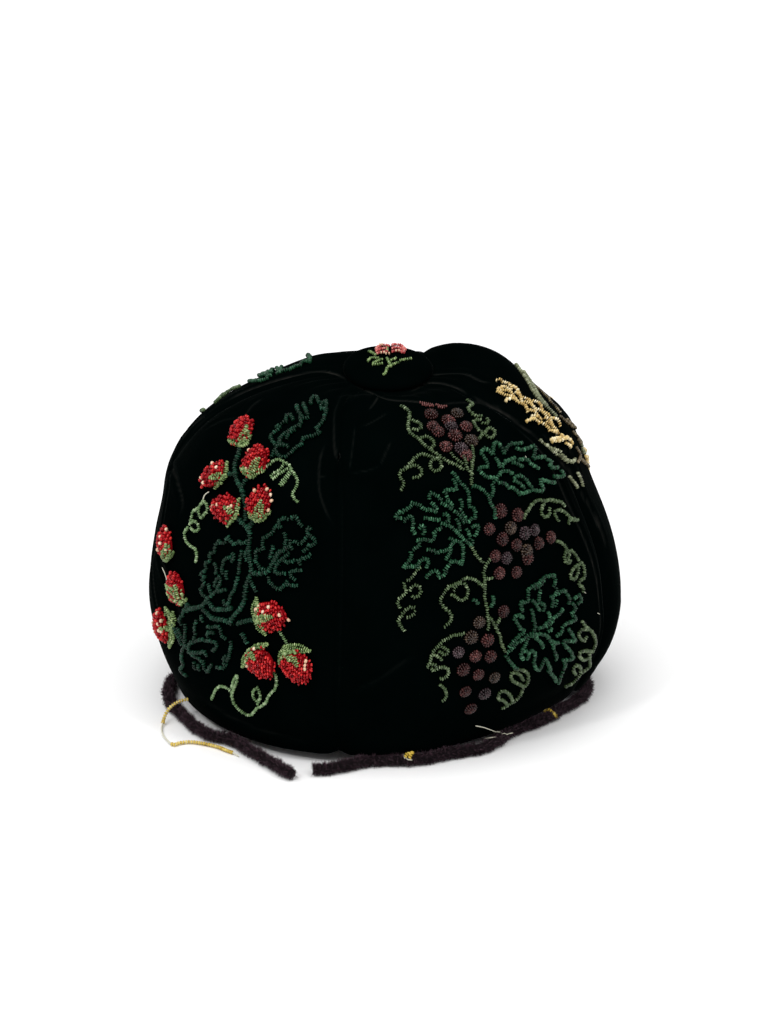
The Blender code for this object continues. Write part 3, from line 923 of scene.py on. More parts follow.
# %% The strawberry plant's leaves
DARK_LEAVES = (
    ((279, 446), (281, 440), (286, 435), (291, 431)),
    ((291, 431), (296, 429), (300, 426)),
    ((300, 428), (302, 423), (300, 419)),
    ((302, 421), (306, 420), (309, 419)),
    ((287, 440), (290, 435), (295, 431)),
    ((277, 447), (273, 442), (272, 438), (275, 434), (279, 431)),
    ((277, 428), (281, 428)),
    ((282, 425), (287, 423)),
    ((287, 422), (287, 418), (291, 417), (294, 421)),
    ((297, 407), (299, 413), (302, 418)),
    ((304, 405), (306, 411), (308, 416)),
    ((311, 405), (313, 400), (317, 399), (319, 404)),
    ((321, 409), (323, 405), (327, 404), (326, 409)),
    ((322, 410), (327, 412), (325, 417)),
    ((325, 417), (324, 422), (320, 426)),
    ((320, 427), (317, 430), (320, 434)),
    ((320, 434), (315, 437), (309, 438)),
    ((308, 438), (304, 440), (302, 445)),
    ((301, 446), (297, 449), (293, 452)),
    ((293, 452), (290, 456), (286, 458)),
    ((278, 447), (284, 446), (289, 448)),
    ((277, 452), (279, 456), (283, 458)),
    ((285, 435), (282, 440), (281, 445)),
    ((277, 449), (275, 453), (273, 457)),
    ((248, 541), (244, 543), (240, 541)),
    ((240, 541), (236, 544), (232, 541)),
    ((232, 541), (230, 537), (227, 541)),
    ((227, 542), (224, 543), (220, 540)),
    ((220, 541), (218, 545), (216, 550)),
    ((216, 552), (212, 554), (212, 559)),
    ((211, 561), (208, 563), (208, 568)),
    ((207, 570), (203, 574), (207, 577)),
    ((204, 579), (207, 583), (204, 586)),
    ((202, 588), (204, 593), (208, 597)),
    ((249, 548), (247, 554), (248, 560)),
    ((243, 551), (242, 559), (241, 566), (240, 573)),
    ((234, 553), (236, 557), (233, 561)),
    ((232, 557), (228, 558), (225, 562)),
    ((225, 562), (224, 568), (224, 573)),
    ((216, 563), (219, 568), (217, 573)),
    ((221, 576), (218, 580), (216, 586)),
    ((210, 584), (212, 589), (213, 594)),
    ((222, 578), (222, 583), (219, 588)),
    ((219, 589), (215, 594), (209, 598)),
    ((228, 571), (228, 578)),
    ((239, 577), (238, 583), (236, 588)),
    ((236, 589), (233, 594), (231, 599)),
    ((231, 600), (229, 605)),
    ((220, 591), (227, 589)),
    ((248, 584), (247, 591)),
    ((225, 600), (227, 604), (230, 606)),
    ((280, 526), (280, 521), (284, 518)),
    ((284, 518), (289, 519)),
    ((282, 527), (278, 526), (275, 529)),
    ((275, 529), (273, 533), (268, 536)),
    ((268, 536), (264, 538)),
    ((264, 540), (264, 545), (265, 549)),
    ((263, 549), (258, 550), (257, 555)),
    ((257, 556), (257, 562)),
    ((259, 564), (262, 568), (266, 569)),
    ((292, 519), (295, 516), (298, 518)),
    ((298, 519), (300, 523), (303, 526)),
    ((308, 533), (308, 528), (311, 529)),
    ((309, 534), (306, 539), (302, 543)),
    ((302, 543), (299, 543), (295, 541)),
    ((310, 535), (314, 538), (316, 541)),
    ((316, 542), (313, 545), (309, 545)),
    ((309, 546), (307, 549), (304, 551)),
    ((311, 554), (307, 557), (303, 558)),
    ((303, 558), (299, 560), (301, 564)),
    ((302, 570), (297, 570), (292, 571)),
    ((291, 572), (292, 576), (296, 579)),
    ((298, 585), (293, 585), (288, 584)),
    ((288, 581), (285, 585), (281, 589)),
    ((280, 589), (275, 586), (272, 583)),
    ((272, 583), (270, 580), (270, 577)),
    ((285, 533), (287, 538), (286, 544)),
    ((286, 544), (286, 549)),
    ((290, 553), (285, 557), (280, 561)),
    ((280, 561), (277, 566), (276, 572)),
    ((295, 560), (289, 562), (285, 560)),
    ((278, 573), (282, 573), (286, 573)),
    ((274, 546), (273, 551), (271, 558)),
    ((281, 551), (278, 556), (275, 562)),
    ((291, 540), (291, 544), (293, 549)),
    ((252, 581), (255, 586), (257, 591)),
    ((188, 607), (186, 611), (185, 615)),
    ((184, 616), (182, 620), (182, 624)),
    ((187, 624), (188, 630), (187, 636)),
    ((187, 637), (188, 643), (188, 647)),
    ((198, 620), (197, 627), (197, 633)),
    ((197, 634), (196, 640)),
    ((203, 615), (204, 621)),
    ((209, 626), (214, 627)),
    ((216, 626), (221, 626), (222, 630)),
    ((222, 631), (224, 635), (227, 638)),
    ((209, 636), (210, 632), (215, 632)),
    ((190, 647), (193, 642), (198, 640)),
    ((198, 640), (203, 639), (208, 640)),
    ((208, 640), (213, 640), (217, 642)),
    ((218, 643), (218, 647), (214, 650)),
    ((190, 651), (196, 652), (202, 652)),
    ((203, 651), (207, 651), (208, 655)),
    ((232, 641), (233, 646), (231, 650)),
    ((231, 651), (231, 656), (228, 660)),
    ((228, 660), (225, 658), (227, 655)),
    ((225, 662), (228, 664)),
    ((226, 666), (222, 667), (218, 666)),
    ((213, 664), (211, 668), (209, 671)),
    ((205, 663), (207, 668), (209, 671)),
    ((200, 664), (201, 669)),
    ((196, 662), (197, 668)),
    ((190, 648), (195, 654), (201, 658)),
    ((201, 658), (205, 661)),
    ((186, 640), (187, 645), (184, 650)),
    ((184, 651), (184, 657), (185, 663)),
    ((185, 664), (183, 669), (188, 675)),
    ((179, 628), (183, 634), (186, 641)),
)
chart(DARK_LEAVES, tone=0.5, **STITCHES)
join("beads_dark_leaves", "dark_leaf_glass", LONG_BEAD)

# %% The strawberry plant's pale tendrils
PALE_TENDRILS = (
    ((260, 470), (265, 468), (270, 465), (275, 461), (280, 460), (285, 463), (290, 466), (292, 471)),
    ((293, 472), (296, 476), (298, 481), (297, 487)),
    ((296, 489), (293, 494), (295, 499), (298, 502)),
    ((284, 465), (281, 470), (276, 473), (272, 476), (274, 479), (279, 475), (284, 472), (288, 469)),
    ((291, 471), (288, 475), (285, 479), (282, 482), (281, 486), (285, 483), (288, 478), (291, 474)),
    ((204, 501), (208, 505), (208, 511), (205, 515), (202, 518), (200, 513), (200, 508), (203, 503)),
    ((198, 509), (194, 512), (193, 517), (192, 521)),
    ((191, 524), (195, 521), (199, 524), (200, 529), (196, 531), (192, 528)),
    ((189, 528), (186, 532), (186, 537), (188, 542), (192, 546), (197, 549)),
    ((197, 550), (198, 555), (197, 562)),
    ((273, 671), (276, 674), (277, 679), (277, 684), (275, 689), (272, 692), (269, 696), (267, 701)),
    ((267, 701), (263, 705), (258, 707), (255, 711), (252, 714), (248, 714), (243, 711), (239, 708)),
    ((239, 708), (236, 704), (234, 700), (233, 695), (234, 690), (236, 685), (238, 680), (238, 675)),
    ((232, 691), (229, 688), (225, 686), (220, 686), (217, 689), (215, 693), (213, 698)),
    ((233, 687), (234, 681), (237, 675)),
    ((258, 703), (261, 697), (260, 691), (258, 687), (254, 691), (254, 696), (257, 700)),
    ((280, 631), (284, 637), (288, 644)),
)
chart(PALE_TENDRILS, pitch=0.00088, wide=0.0015, slant=0.3, tone=0.55)
join("beads_pale_tendrils", "pale_glass", ROUND_BEAD)

# %% [markdown]
# Each strawberry is a padded cushion under rows of red beads, with a few pale beads for its seeds and
# a calyx of green strands at its stalk end. The pads come from the solids, a tenth smaller to leave
# room for the beads, and the beads follow their surface.

# %% The pads under the strawberries
PADS = [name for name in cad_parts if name.startswith("strawberry_")]
PAD_SHARE = 0.9
WOOL_SOCKETS = {
    "Base Color": (0.22, 0.002, 0.005, 1.0),
    "Roughness": 0.9,
    "Specular IOR Level": 0.05,
}


def pad_mesh():
    """All pads as one smooth mesh."""
    shape = bmesh.new()
    for name in PADS:
        before = set(shape.verts)
        shape.from_mesh(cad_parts[name].data)
        added = [vert for vert in shape.verts if vert not in before]
        middle = sum((vert.co for vert in added), Vector()) / len(added)
        bmesh.ops.scale(shape, verts=added, vec=(PAD_SHARE,) * 3, space=Matrix.Translation(-middle))
    bmesh.ops.remove_doubles(shape, verts=shape.verts, dist=0.00001)
    mesh = bpy.data.meshes.new("strawberry_pads")
    shape.to_mesh(mesh)
    shape.free()
    mesh.shade_smooth()
    return mesh


wool = material("red_padding", WOOL_SOCKETS)[0]
pads = placed("strawberry_pads", pad_mesh())
pads.data.materials.clear()
pads.data.materials.append(wool)
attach(pads, "root")
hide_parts(*PADS)
PADDED = tree_of([*velvet.values(), pads])
print("pads:", len(PADS))

# %% The rows of red beads
BERRY_WIDE = 0.0016
BERRY_PITCH = 0.00098
BERRY_ROWS = range(-7, 8)
BERRY_COLUMNS = range(-10, 11)
ROW_STEP = 0.0014
STITCH = 4
STITCH_ARCH = 0.0011
SUNK = 0.0002
SEED_SHARE = 0.055
seeds = []


def berry_frame(node):
    """A pad's middle, its own search tree, and its right, up and outward directions."""
    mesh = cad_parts[node].data
    tree = BVHTree.FromPolygons([v.co for v in mesh.vertices], [f.vertices for f in mesh.polygons])
    middle = sum((v.co for v in mesh.vertices), Vector()) / len(mesh.vertices)
    _, out, _, _ = CLOTH.find_nearest(middle)
    if out.dot(middle - HEART) < 0:
        out = -out
    right = out.cross(Vector((0, 0, 1))).normalized()
    return middle, tree, right, right.cross(out), out


def red_beads(node):
    """Short arched stitches of red beads, in rows over one pad."""
    middle, tree, right, up, out = berry_frame(node)
    turn = chance.uniform(-0.5, 0.5)
    across = right * math.cos(turn) + up * math.sin(turn)
    down = up * math.cos(turn) - right * math.sin(turn)
    for row in BERRY_ROWS:
        start = chance.randrange(STITCH)
        for i in BERRY_COLUMNS:
            spot = middle + down * row * ROW_STEP + across * (i * BERRY_PITCH)
            spot += down * chance.gauss(0, 0.00025)
            place, normal, _, _ = tree.ray_cast(spot + out * 0.02, -out)
            if place is None:
                continue
            normal = normal if normal.dot(out) > 0 else -normal
            hump = STITCH_ARCH * math.sin(math.pi * ((i + start) % STITCH + 0.5) / STITCH)
            along = across + down * chance.gauss(0, 0.35) + normal * chance.gauss(0, 0.2)
            along = (along - normal * along.dot(normal) * 0.7).normalized()
            spot = place + normal * (hump - SUNK) - (place - middle) * 0.05
            if chance.random() < SEED_SHARE:
                seeds.append((spot + normal * SUNK, along, normal))
            else:
                # beads high on a stitch's arch take a lighter tone and low ones a darker tone: painted
                # highlight and painted shade
                bead(spot, along, normal, BERRY_PITCH, BERRY_WIDE, 0.25 + 350 * hump)


for node in PADS:
    red_beads(node)
join("beads_strawberries", "red_glass", ROUND_BEAD)
for row in seeds:
    bead(*row, long=0.0014, wide=0.0019, tone=0.65)
join("beads_strawberry_seeds", "white_glass", ROUND_BEAD)

# %% The calyx on each strawberry
CALYX = (
    # the stalk end, then the end of each lobe
    ((242, 448), (231, 440), (247, 428), (253, 434), (250, 445)),
    ((251, 474), (244, 468), (259, 459), (266, 469), (256, 477)),
    ((225, 474), (229, 463), (212, 478), (217, 489), (222, 484)),
    ((235, 514), (241, 499), (226, 507), (229, 526)),
    ((257, 521), (251, 512), (262, 501), (271, 511), (266, 519)),
    ((168, 560), (164, 550), (168, 544), (176, 552)),
    ((182, 603), (168, 585), (177, 586), (189, 599)),
    ((175, 628), (168, 607), (162, 628), (172, 646), (175, 612)),
    ((256, 619), (258, 597), (273, 616), (267, 634)),
    ((250, 650), (244, 666), (256, 659), (269, 643)),
    ((286, 645), (281, 663), (298, 665), (311, 650), (291, 661)),
)
LOBE_WIDE = 0.15


def lobe(base, tip, lift):
    """Three strands of beads that spread from the stalk end and meet at the lobe's end."""
    base = Vector(base)
    tip = Vector(tip)
    side = (tip - base).orthogonal() * LOBE_WIDE
    for way in (-1, 0, 1):
        middle = (base + tip) / 2 + side * way
        line = smooth([base, middle, tip], 6)
        string([sewn(*point, PADDED) for point in line], wide=0.0014, pitch=0.00088, lift=lift, tree=PADDED)


for stalk, *ends in CALYX:
    for i, end in enumerate(ends):
        lobe(stalk, end, 0.0006 + 0.0003 * (i % 2))
join("beads_calyx", "calyx_glass", ROUND_BEAD)

# %% [markdown]
# A grape is a small dome of fine beads, coiled from the outside in. Three clusters of them hang on the
# vine, in brownish red, brown and a dull mauve. At the top of the vine a few short rows lie flat.

# %% The grapes
GRAPES = (
    ((431, 415), (457, 414), (448, 421), (451, 427), (433, 427), (438, 432), (466, 427), (455, 436)),
    ((471, 441), (446, 447), (461, 449), (466, 455), (500, 511), (517, 515), (489, 529), (510, 528)),
    ((502, 539), (524, 533), (534, 530), (516, 545), (538, 543), (550, 537), (526, 551), (527, 558)),
    ((495, 556), (506, 558), (499, 573), (516, 572), (503, 611), (479, 622), (471, 637), (487, 640)),
    ((458, 652), (475, 656), (490, 656), (463, 669), (478, 674), (494, 677), (465, 691), (484, 693)),
    ((470, 708),),
)
FLAT_GRAPES = (
    ((420, 403), (426, 404), (432, 405)),
    ((422, 406), (428, 407), (433, 407)),
    ((436, 405), (441, 407), (446, 407)),
    ((438, 408), (444, 409)),
)
COIL = (
    # radius and height of the ring in millimetres, and its beads
    (2.05, 0.45, 15),
    (1.35, 1.15, 10),
    (0.65, 1.60, 5),
)
GRAPE_KINDS = (*["grape_glass"] * 3, "mauve_glass", "grape_glass", "brown_grape_glass")
GRAPE_PITCH = 0.00088
GRAPE_WIDE = 0.0013
GRAPE_TOP = 0.00175


def grape(spot, size):
    """Rings of small beads that make a dome."""
    middle, out = spot
    right = out.orthogonal().normalized()
    up = out.cross(right)
    tone = chance.uniform(0.35, 0.6)
    for radius, height, count in COIL:
        start = chance.uniform(0, 6)
        for i in range(count):
            turn = start + 2 * math.pi * i / count
            way = right * math.cos(turn) + up * math.sin(turn)
            along = up * math.cos(turn) - right * math.sin(turn)
            place = middle + (way * radius * chance.uniform(0.92, 1.06) + out * height) * size / 1000
            lean = (way * radius + out * height * 2).normalized()
            bead(place, along, lean, GRAPE_PITCH, GRAPE_WIDE * size, tone)
    bead(middle + out * GRAPE_TOP * size, right, out, 0.0010, GRAPE_WIDE, tone)


for kind in dict.fromkeys(GRAPE_KINDS):
    for i, spot in enumerate(spot for row in GRAPES for spot in row):
        if GRAPE_KINDS[(i * 5 + i // 6) % 6] == kind:
            grape(sewn(*spot), chance.uniform(1.02, 1.22))
    if kind == "grape_glass":
        # the flat rows take the lightest grape tone, a painted highlight
        chart(FLAT_GRAPES, pitch=0.0008, wide=GRAPE_WIDE, tone=1.0)
    join("beads_" + kind.replace("_glass", "s"), kind, ROUND_BEAD)

# %% [markdown]
# Only the edge of the back right gore shows, with an ear of wheat in gold and cream, and only the top
# of the back left one, with the crinkled edge of a leaf. The rest of both is hidden from the
# photograph, so more ears, leaves and tendrils of the same kinds carry on over them.

# %% The wheat that shows
WHEAT_STEM = (
    ((497, 356), (505, 359), (510, 366), (518, 374), (526, 383), (531, 391), (536, 398), (542, 405)),
    ((499, 355), (507, 360), (513, 366), (521, 375), (529, 384), (534, 391), (539, 399), (546, 407)),
    ((542, 405), (550, 412), (555, 417)),
    ((538, 442), (544, 444), (550, 448), (557, 451), (562, 457), (569, 462), (573, 460)),
    ((545, 447), (552, 451), (559, 456), (566, 462)),
    ((576, 473), (579, 479), (581, 486)),
    ((568, 476), (572, 481), (576, 487)),
    ((579, 442), (582, 452), (588, 460), (590, 470)),
)
WHEAT_KERNELS = (
    ((496, 382), (502, 384)),
    ((502, 384), (507, 387), (511, 391)),
    ((510, 387), (515, 392), (519, 398)),
    ((497, 391), (504, 390), (512, 396)),
    ((497, 393), (504, 398), (515, 400)),
    ((500, 392), (507, 394), (513, 398)),
    ((505, 402), (510, 401), (517, 403)),
    ((515, 394), (518, 398), (521, 403)),
    ((522, 399), (527, 403), (532, 408)),
    ((519, 404), (523, 408), (527, 413)),
    ((524, 403), (529, 407), (535, 412)),
    ((532, 402), (537, 406), (541, 411)),
    ((527, 411), (532, 414), (537, 417)),
    ((531, 417), (536, 419), (540, 421)),
    ((525, 423), (532, 421), (538, 424)),
    ((538, 423), (543, 427), (548, 431)),
    ((535, 410), (540, 414), (546, 419)),
    ((541, 413), (546, 417), (550, 421)),
    ((544, 419), (548, 423), (551, 428)),
    ((546, 423), (551, 429), (557, 434)),
    ((550, 419), (555, 422), (559, 427)),
    ((548, 431), (551, 433), (555, 434)),
    ((550, 440), (557, 439), (561, 436)),
    ((551, 442), (559, 441), (566, 438)),
    ((561, 438), (566, 441), (570, 444)),
    ((564, 444), (569, 448)),
)
WHEAT_EDGE = (
    ((531, 386), (536, 389), (541, 393)),
    ((541, 393), (545, 397), (548, 400)),
    ((549, 402), (554, 407), (559, 413)),
    ((559, 417), (566, 423), (572, 428)),
    ((566, 420), (573, 427), (580, 435)),
    ((572, 432), (577, 438), (581, 444)),
    ((577, 440), (582, 448), (586, 455)),
    ((583, 446), (587, 455), (589, 463)),
    ((578, 458), (584, 463), (590, 470)),
    ((575, 448), (579, 455), (577, 462)),
)


# how far out a board is held before its drawing is laid on the cloth
BOARD_GAP = 0.04
KERNEL = {"pitch": 0.0009, "wide": 0.0017, "arch": 0.0009}
KERNEL_STEP = 1.35


def board(angle, rise):
    """A drawing board laid on the cap: from millimetres right and up to a place on the cloth."""
    turn = math.radians(angle)
    away = towards(angle, rise)
    middle, out = met(away)
    out = out if out.dot(away) > 0 else -out
    right = Vector((math.cos(turn), math.sin(turn), 0.0))
    up = out.cross(right).normalized()

    def seat(u, v):
        start = middle + (right * u + up * v) / 1000 + out * BOARD_GAP
        place, normal, _, _ = CLOTH.ray_cast(start, -out)
        if place is None:
            return None
        return place, (normal if normal.dot(out) > 0 else -normal)

    return seat


def drawn(seat, line, **how):
    """Strings beads along a smooth line on a drawing board."""
    string([seat(*point) for point in smooth(line, 5)], **how)


def ear(seat, start, lean, pairs, size=2.2):
    """The kernels of one ear of wheat, in pairs along its stem."""
    way = Vector((math.sin(math.radians(lean)), math.cos(math.radians(lean))))
    side = Vector((way.y, -way.x))
    for i in range(pairs):
        foot = Vector(start) + way * (i * size * KERNEL_STEP)
        for hand in (-1, 1):
            tip = foot + (way * 1.5 + side * hand) * size
            mid = foot + (way * 0.6 + side * hand * 0.8) * size
            drawn(seat, [foot, mid, tip], tone=0.5, **KERNEL)
    drawn(seat, [foot + way * size, foot + way * size * 3.2], wide=0.0017, arch=0.0009, tone=0.6)


WHEAT_SEAT = board(126, 22)
EARS = (
    # where an ear starts, its lean in degrees and its pairs of kernels
    ((-27, 2), -30, 8),
    ((-13, 14), -14, 9),
    ((3, 20), 2, 9),
    ((18, 12), 17, 9),
    ((31, -2), 33, 8),
)
WHEAT_FOOT = (0, -44)
WHEAT_LEAVES = (
    # both edges of a long leaf on each side, and a short blade above each
    ((-1, -34), (-12, -26), (-24, -22), (-35, -10)),
    ((-1, -34), (-15, -34), (-29, -26), (-35, -10)),
    ((1, -30), (12, -22), (24, -22), (34, -14)),
    ((1, -30), (15, -31), (27, -29), (34, -14)),
    ((0, -14), (-7, -4), (-9, 6)),
    ((0, -10), (8, -2), (11, 5)),
)
print("ears on the hidden side:", len(EARS))

# %% The wheat, its stems and its leaves
chart(WHEAT_KERNELS, tone=0.55, **KERNEL)
for start, lean, pairs in EARS:
    ear(WHEAT_SEAT, start, lean, pairs)
join("beads_wheat", "gold_glass", ROUND_BEAD)
chart(WHEAT_EDGE, wide=0.0014, tone=0.5)
join("beads_wheat_edge", "brown_glass", ROUND_BEAD)
chart(WHEAT_STEM, pitch=0.0009, **STEM)
for (u, v), _, _ in EARS:
    drawn(WHEAT_SEAT, (WHEAT_FOOT, (u * 0.25, WHEAT_FOOT[1] / 2), (u, v)), **STEM)
for line in WHEAT_LEAVES:
    drawn(WHEAT_SEAT, line, **STEM)
join("beads_wheat_stems", "olive_glass", ROUND_BEAD)

# %% The leaves of the back left gore
LEAF_EDGE = (
    ((250, 383), (256, 384), (262, 383), (268, 381)),
    ((268, 381), (271, 378)),
    ((278, 376), (284, 375), (290, 373)),
    ((290, 373), (296, 371), (302, 369)),
    ((302, 368), (306, 366), (310, 366)),
    ((250, 381), (255, 379), (259, 376)),
    ((259, 377), (263, 379), (264, 375)),
    ((264, 375), (268, 378), (269, 373)),
    ((272, 375), (275, 371), (278, 370)),
    ((278, 371), (281, 375), (283, 370)),
    ((292, 366), (297, 363), (302, 362)),
    ((303, 361), (307, 360), (311, 362)),
    ((311, 362), (311, 366)),
)
BROWN_EDGE = (
    ((216, 404), (220, 400), (224, 396)),
    ((224, 397), (229, 393), (234, 390)),
    ((234, 390), (240, 388)),
    ((200, 413), (205, 411)),
)
HALF_LEAF = (
    (0.0, -0.35),
    (0.25, -0.55),
    (0.5, -0.45),
    (0.45, -0.2),
    (0.8, -0.15),
    (0.75, 0.1),
    (0.5, 0.15),
    (0.65, 0.45),
    (0.4, 0.45),
    (0.25, 0.35),
    (0.2, 0.7),
    (0.0, 0.95),
)
VEINS = ((0.42, -0.40), (0.62, -0.05), (0.48, 0.34), (0.0, 0.75))
LEAF_SEAT = board(221, 22)
HIDDEN_LEAVES = (
    # the middle of each leaf, its size and its lean in degrees
    ((-24, 20), 19, 40),
    ((22, 8), 19, -50),
    ((-22, -22), 18, 80),
    ((25, -28), 16, -90),
)
HIDDEN_STEM = ((0, -48), (4, -34), (-3, -18), (3, -2), (-3, 14), (3, 28), (0, 38))
SIDE_STEMS = (
    ((3, 0), (8, 4), (13, 5)),
    ((-2, 12), (-8, 14), (-14, 14)),
    ((-2, -20), (-7, -22), (-12, -23)),
    ((3, -31), (9, -31), (15, -29)),
)
CURLS = (
    # the middle of each tendril, and which way it curls
    ((-31, -3), 1),
    ((32, 26), -1),
    ((7, 36), 1),
    ((8, -16), -1),
    ((-17, 38), 1),
)


CURL_STEPS = 14
CURL_TURN = 0.55
CURL_END = 17


def leaf(seat, middle, size, lean):
    """A vine leaf: two lobed halves of short stitches, with veins."""
    turn = Matrix.Rotation(math.radians(lean), 2)
    for hand in (-1, 1):
        outline = [turn @ Vector((u * hand, v)) * size + Vector(middle) for u, v in HALF_LEAF]
        for start, end in zip(outline, outline[1:]):
            drawn(seat, (start, end), tone=0.52, **STITCHES)
        foot = turn @ Vector((0.0, -0.3)) * size + Vector(middle)
        for u, v in VEINS[: 4 if hand > 0 else 3]:
            tip = turn @ Vector((u * hand, v)) * size + Vector(middle)
            drawn(seat, (foot.lerp(tip, 0.2), tip), tone=0.5, **STITCHES)


def curl(seat, middle, hand, size=7.0):
    """A tendril that winds into itself."""
    line = []
    for step in range(CURL_STEPS):
        turn = step * CURL_TURN
        reach = size * (1 - step / CURL_END)
        line.append(Vector(middle) + Vector((hand * math.cos(turn), math.sin(turn))) * reach)
    drawn(seat, line, **STEM)


chart(LEAF_EDGE, tone=0.55, **STITCHES)
for middle, size, lean in HIDDEN_LEAVES:
    leaf(LEAF_SEAT, middle, size, lean)
join("beads_back_leaves", "leaf_glass", LONG_BEAD)
chart(BROWN_EDGE, tone=0.5)
for line in (HIDDEN_STEM, *SIDE_STEMS):
    drawn(LEAF_SEAT, line, **STEM)
for middle, hand in CURLS:
    curl(LEAF_SEAT, middle, hand)
join("beads_back_vine", "stem_glass", ROUND_BEAD)

# %% [markdown]
# The button on the crown has a small flower of its own: two pink petals of massed beads, a few pale
# leaves below them and the start of a stem. It is seen nearly edge on, so it looks flat.

# %% The flower on the button
PETALS = (
    ((376, 352), (380, 349), (385, 348), (389, 349)),
    ((376, 354), (381, 352), (386, 351)),
    ((377, 356), (382, 355), (387, 354)),
    ((392, 348), (397, 347), (402, 349), (405, 352)),
    ((392, 351), (398, 350), (404, 353)),
    ((392, 354), (398, 353), (404, 355)),
)
# pale beads set where light glints on the petals: a painted highlight
PETAL_HIGHLIGHTS = (
    ((380, 349), (382, 349)),
    ((381, 356), (384, 356)),
    ((386, 357), (389, 357)),
    ((396, 354), (399, 354)),
)
BUTTON_LEAVES = (
    ((369, 354), (372, 355), (375, 357)),
    ((368, 363), (371, 360), (378, 360)),
    ((373, 365), (379, 362), (382, 361)),
    ((373, 366), (378, 366), (382, 365)),
    ((387, 350), (387, 353)),
    ((387, 360), (389, 364), (391, 368)),
    ((391, 362), (396, 360)),
    ((388, 368), (393, 366), (398, 364)),
    ((400, 362), (405, 361), (411, 360)),
    ((387, 370), (386, 373), (384, 376)),
)
chart(PETALS, pitch=0.0009, wide=0.0015, lift=0.0003, tone=0.45)
join("beads_petals", "petal_glass", ROUND_BEAD)
# white beads on top of the petals stand in for their glints, a painted highlight
chart(PETAL_HIGHLIGHTS, wide=0.0014, lift=0.0009, tone=0.6)
join("beads_petal_highlights", "white_glass", ROUND_BEAD)
chart(BUTTON_LEAVES, pitch=0.0009, wide=0.0014, lift=0.0001, slant=0.3)
join("beads_button_leaves", "calyx_glass", ROUND_BEAD)

# %% [markdown]
# A string of yellow beads was wound round the edging. Most of it hangs loose at the front left, where
# its thread is bare for a stretch, and two short turns are left on the edging.

# %% The loose yellow string
STRING_ROUTE = (
    (-0.0850, -0.0308, 0.0090),
    (-0.0872, -0.0314, 0.0088),
    (-0.0897, -0.0323, 0.0081),
    (-0.0926, -0.0338, 0.0063),
    (-0.0946, -0.0358, 0.0034),
    (-0.0953, -0.0388, 0.0014),
    (-0.0955, -0.0435, 0.0011),
    (-0.0944, -0.0499, 0.0011),
    (-0.0920, -0.0558, 0.0011),
    (-0.0893, -0.0596, 0.0011),
    (-0.0866, -0.0578, 0.0011),
    (-0.0821, -0.0568, 0.0011),
    (-0.0760, -0.0588, 0.0011),
    (-0.0705, -0.0618, 0.0011),
    (-0.0672, -0.0647, 0.0011),
    (-0.0642, -0.0672, 0.0011),
)
# its thread is bare between two places on its way out, before it turns back
BARE_FROM = -0.0385
BARE_TO = -0.0592
WAY_OUT = 0.55
YELLOW_PITCH = 0.00115
YELLOW_WIDE = 0.0018
YELLOW_SHARE = 0.85

string_line = evenly(smooth(STRING_ROUTE, 6), YELLOW_PITCH)
for i, place in enumerate(string_line):
    bare = i < len(string_line) * WAY_OUT and BARE_TO < place.y < BARE_FROM
    if not bare:
        along = (string_line[min(i + 1, len(string_line) - 1)] - string_line[max(i - 1, 0)]).normalized()
        bead(place, along, Vector((0.0, 0.0, 1.0)), YELLOW_PITCH * YELLOW_SHARE, YELLOW_WIDE)
join("beads_yellow_string", "yellow_glass", ROUND_BEAD, replaced=["bead_string"])

# %% The turns left on the edging
EDGING = tree_of([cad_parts["edge_cord"]])
YELLOW_TURNS = (
    ((405, 757), (408, 754), (411, 749)),
    ((409, 758), (411, 755), (412, 751)),
    ((536, 704), (541, 706), (545, 709)),
    ((545, 709), (551, 713), (557, 718)),
)
for line in YELLOW_TURNS:
    string([sewn(*point, EDGING) for point in smooth(line, 5)], tree=EDGING, wide=0.0019)
join("beads_yellow_turns", "yellow_glass", ROUND_BEAD)

# %% [markdown]
# Chenille is a cord of short pile held between two twisted threads, so it is round, soft and hairy.
# A dark body carries tens of thousands of small spikes, each one tuft of pile. They stand out all
# round the cord, lean a little at random, and make its outline soft as the photograph shows it.

# %% The chenille's finish
CHENILLE_SOCKETS = {
    "Roughness": 0.9,
    "Specular IOR Level": 0.15,
    "Sheen Weight": 0.14,
    "Sheen Roughness": 0.35,
    "Sheen Tint": (0.75, 0.55, 0.65, 1.0),
}


def chenille_finish(name, dark, middle, light):
    """Soft pile, dark at its roots and light at its tips: painted shade and painted highlight."""
    made, tree, shader = material(name, CHENILLE_SOCKETS)
    colour = ramp(tree, attribute(tree, "tone"), (0.0, dark), (0.6, middle), (1.0, light))
    tree.links.new(colour, shader.inputs["Base Color"])
    bump(tree, shader, noise(tree, 1500.0, 2.0), 0.0003, 0.6)
    return made


CHENILLE = chenille_finish(
    "chenille_pile", (0.0015, 0.0005, 0.0010), (0.010, 0.0038, 0.0065), (0.078, 0.042, 0.056)
)
RUSTY = chenille_finish(
    "rubbed_chenille_pile", (0.020, 0.003, 0.003), (0.090, 0.010, 0.012), (0.240, 0.050, 0.045)
)
print(CHENILLE.name, RUSTY.name)


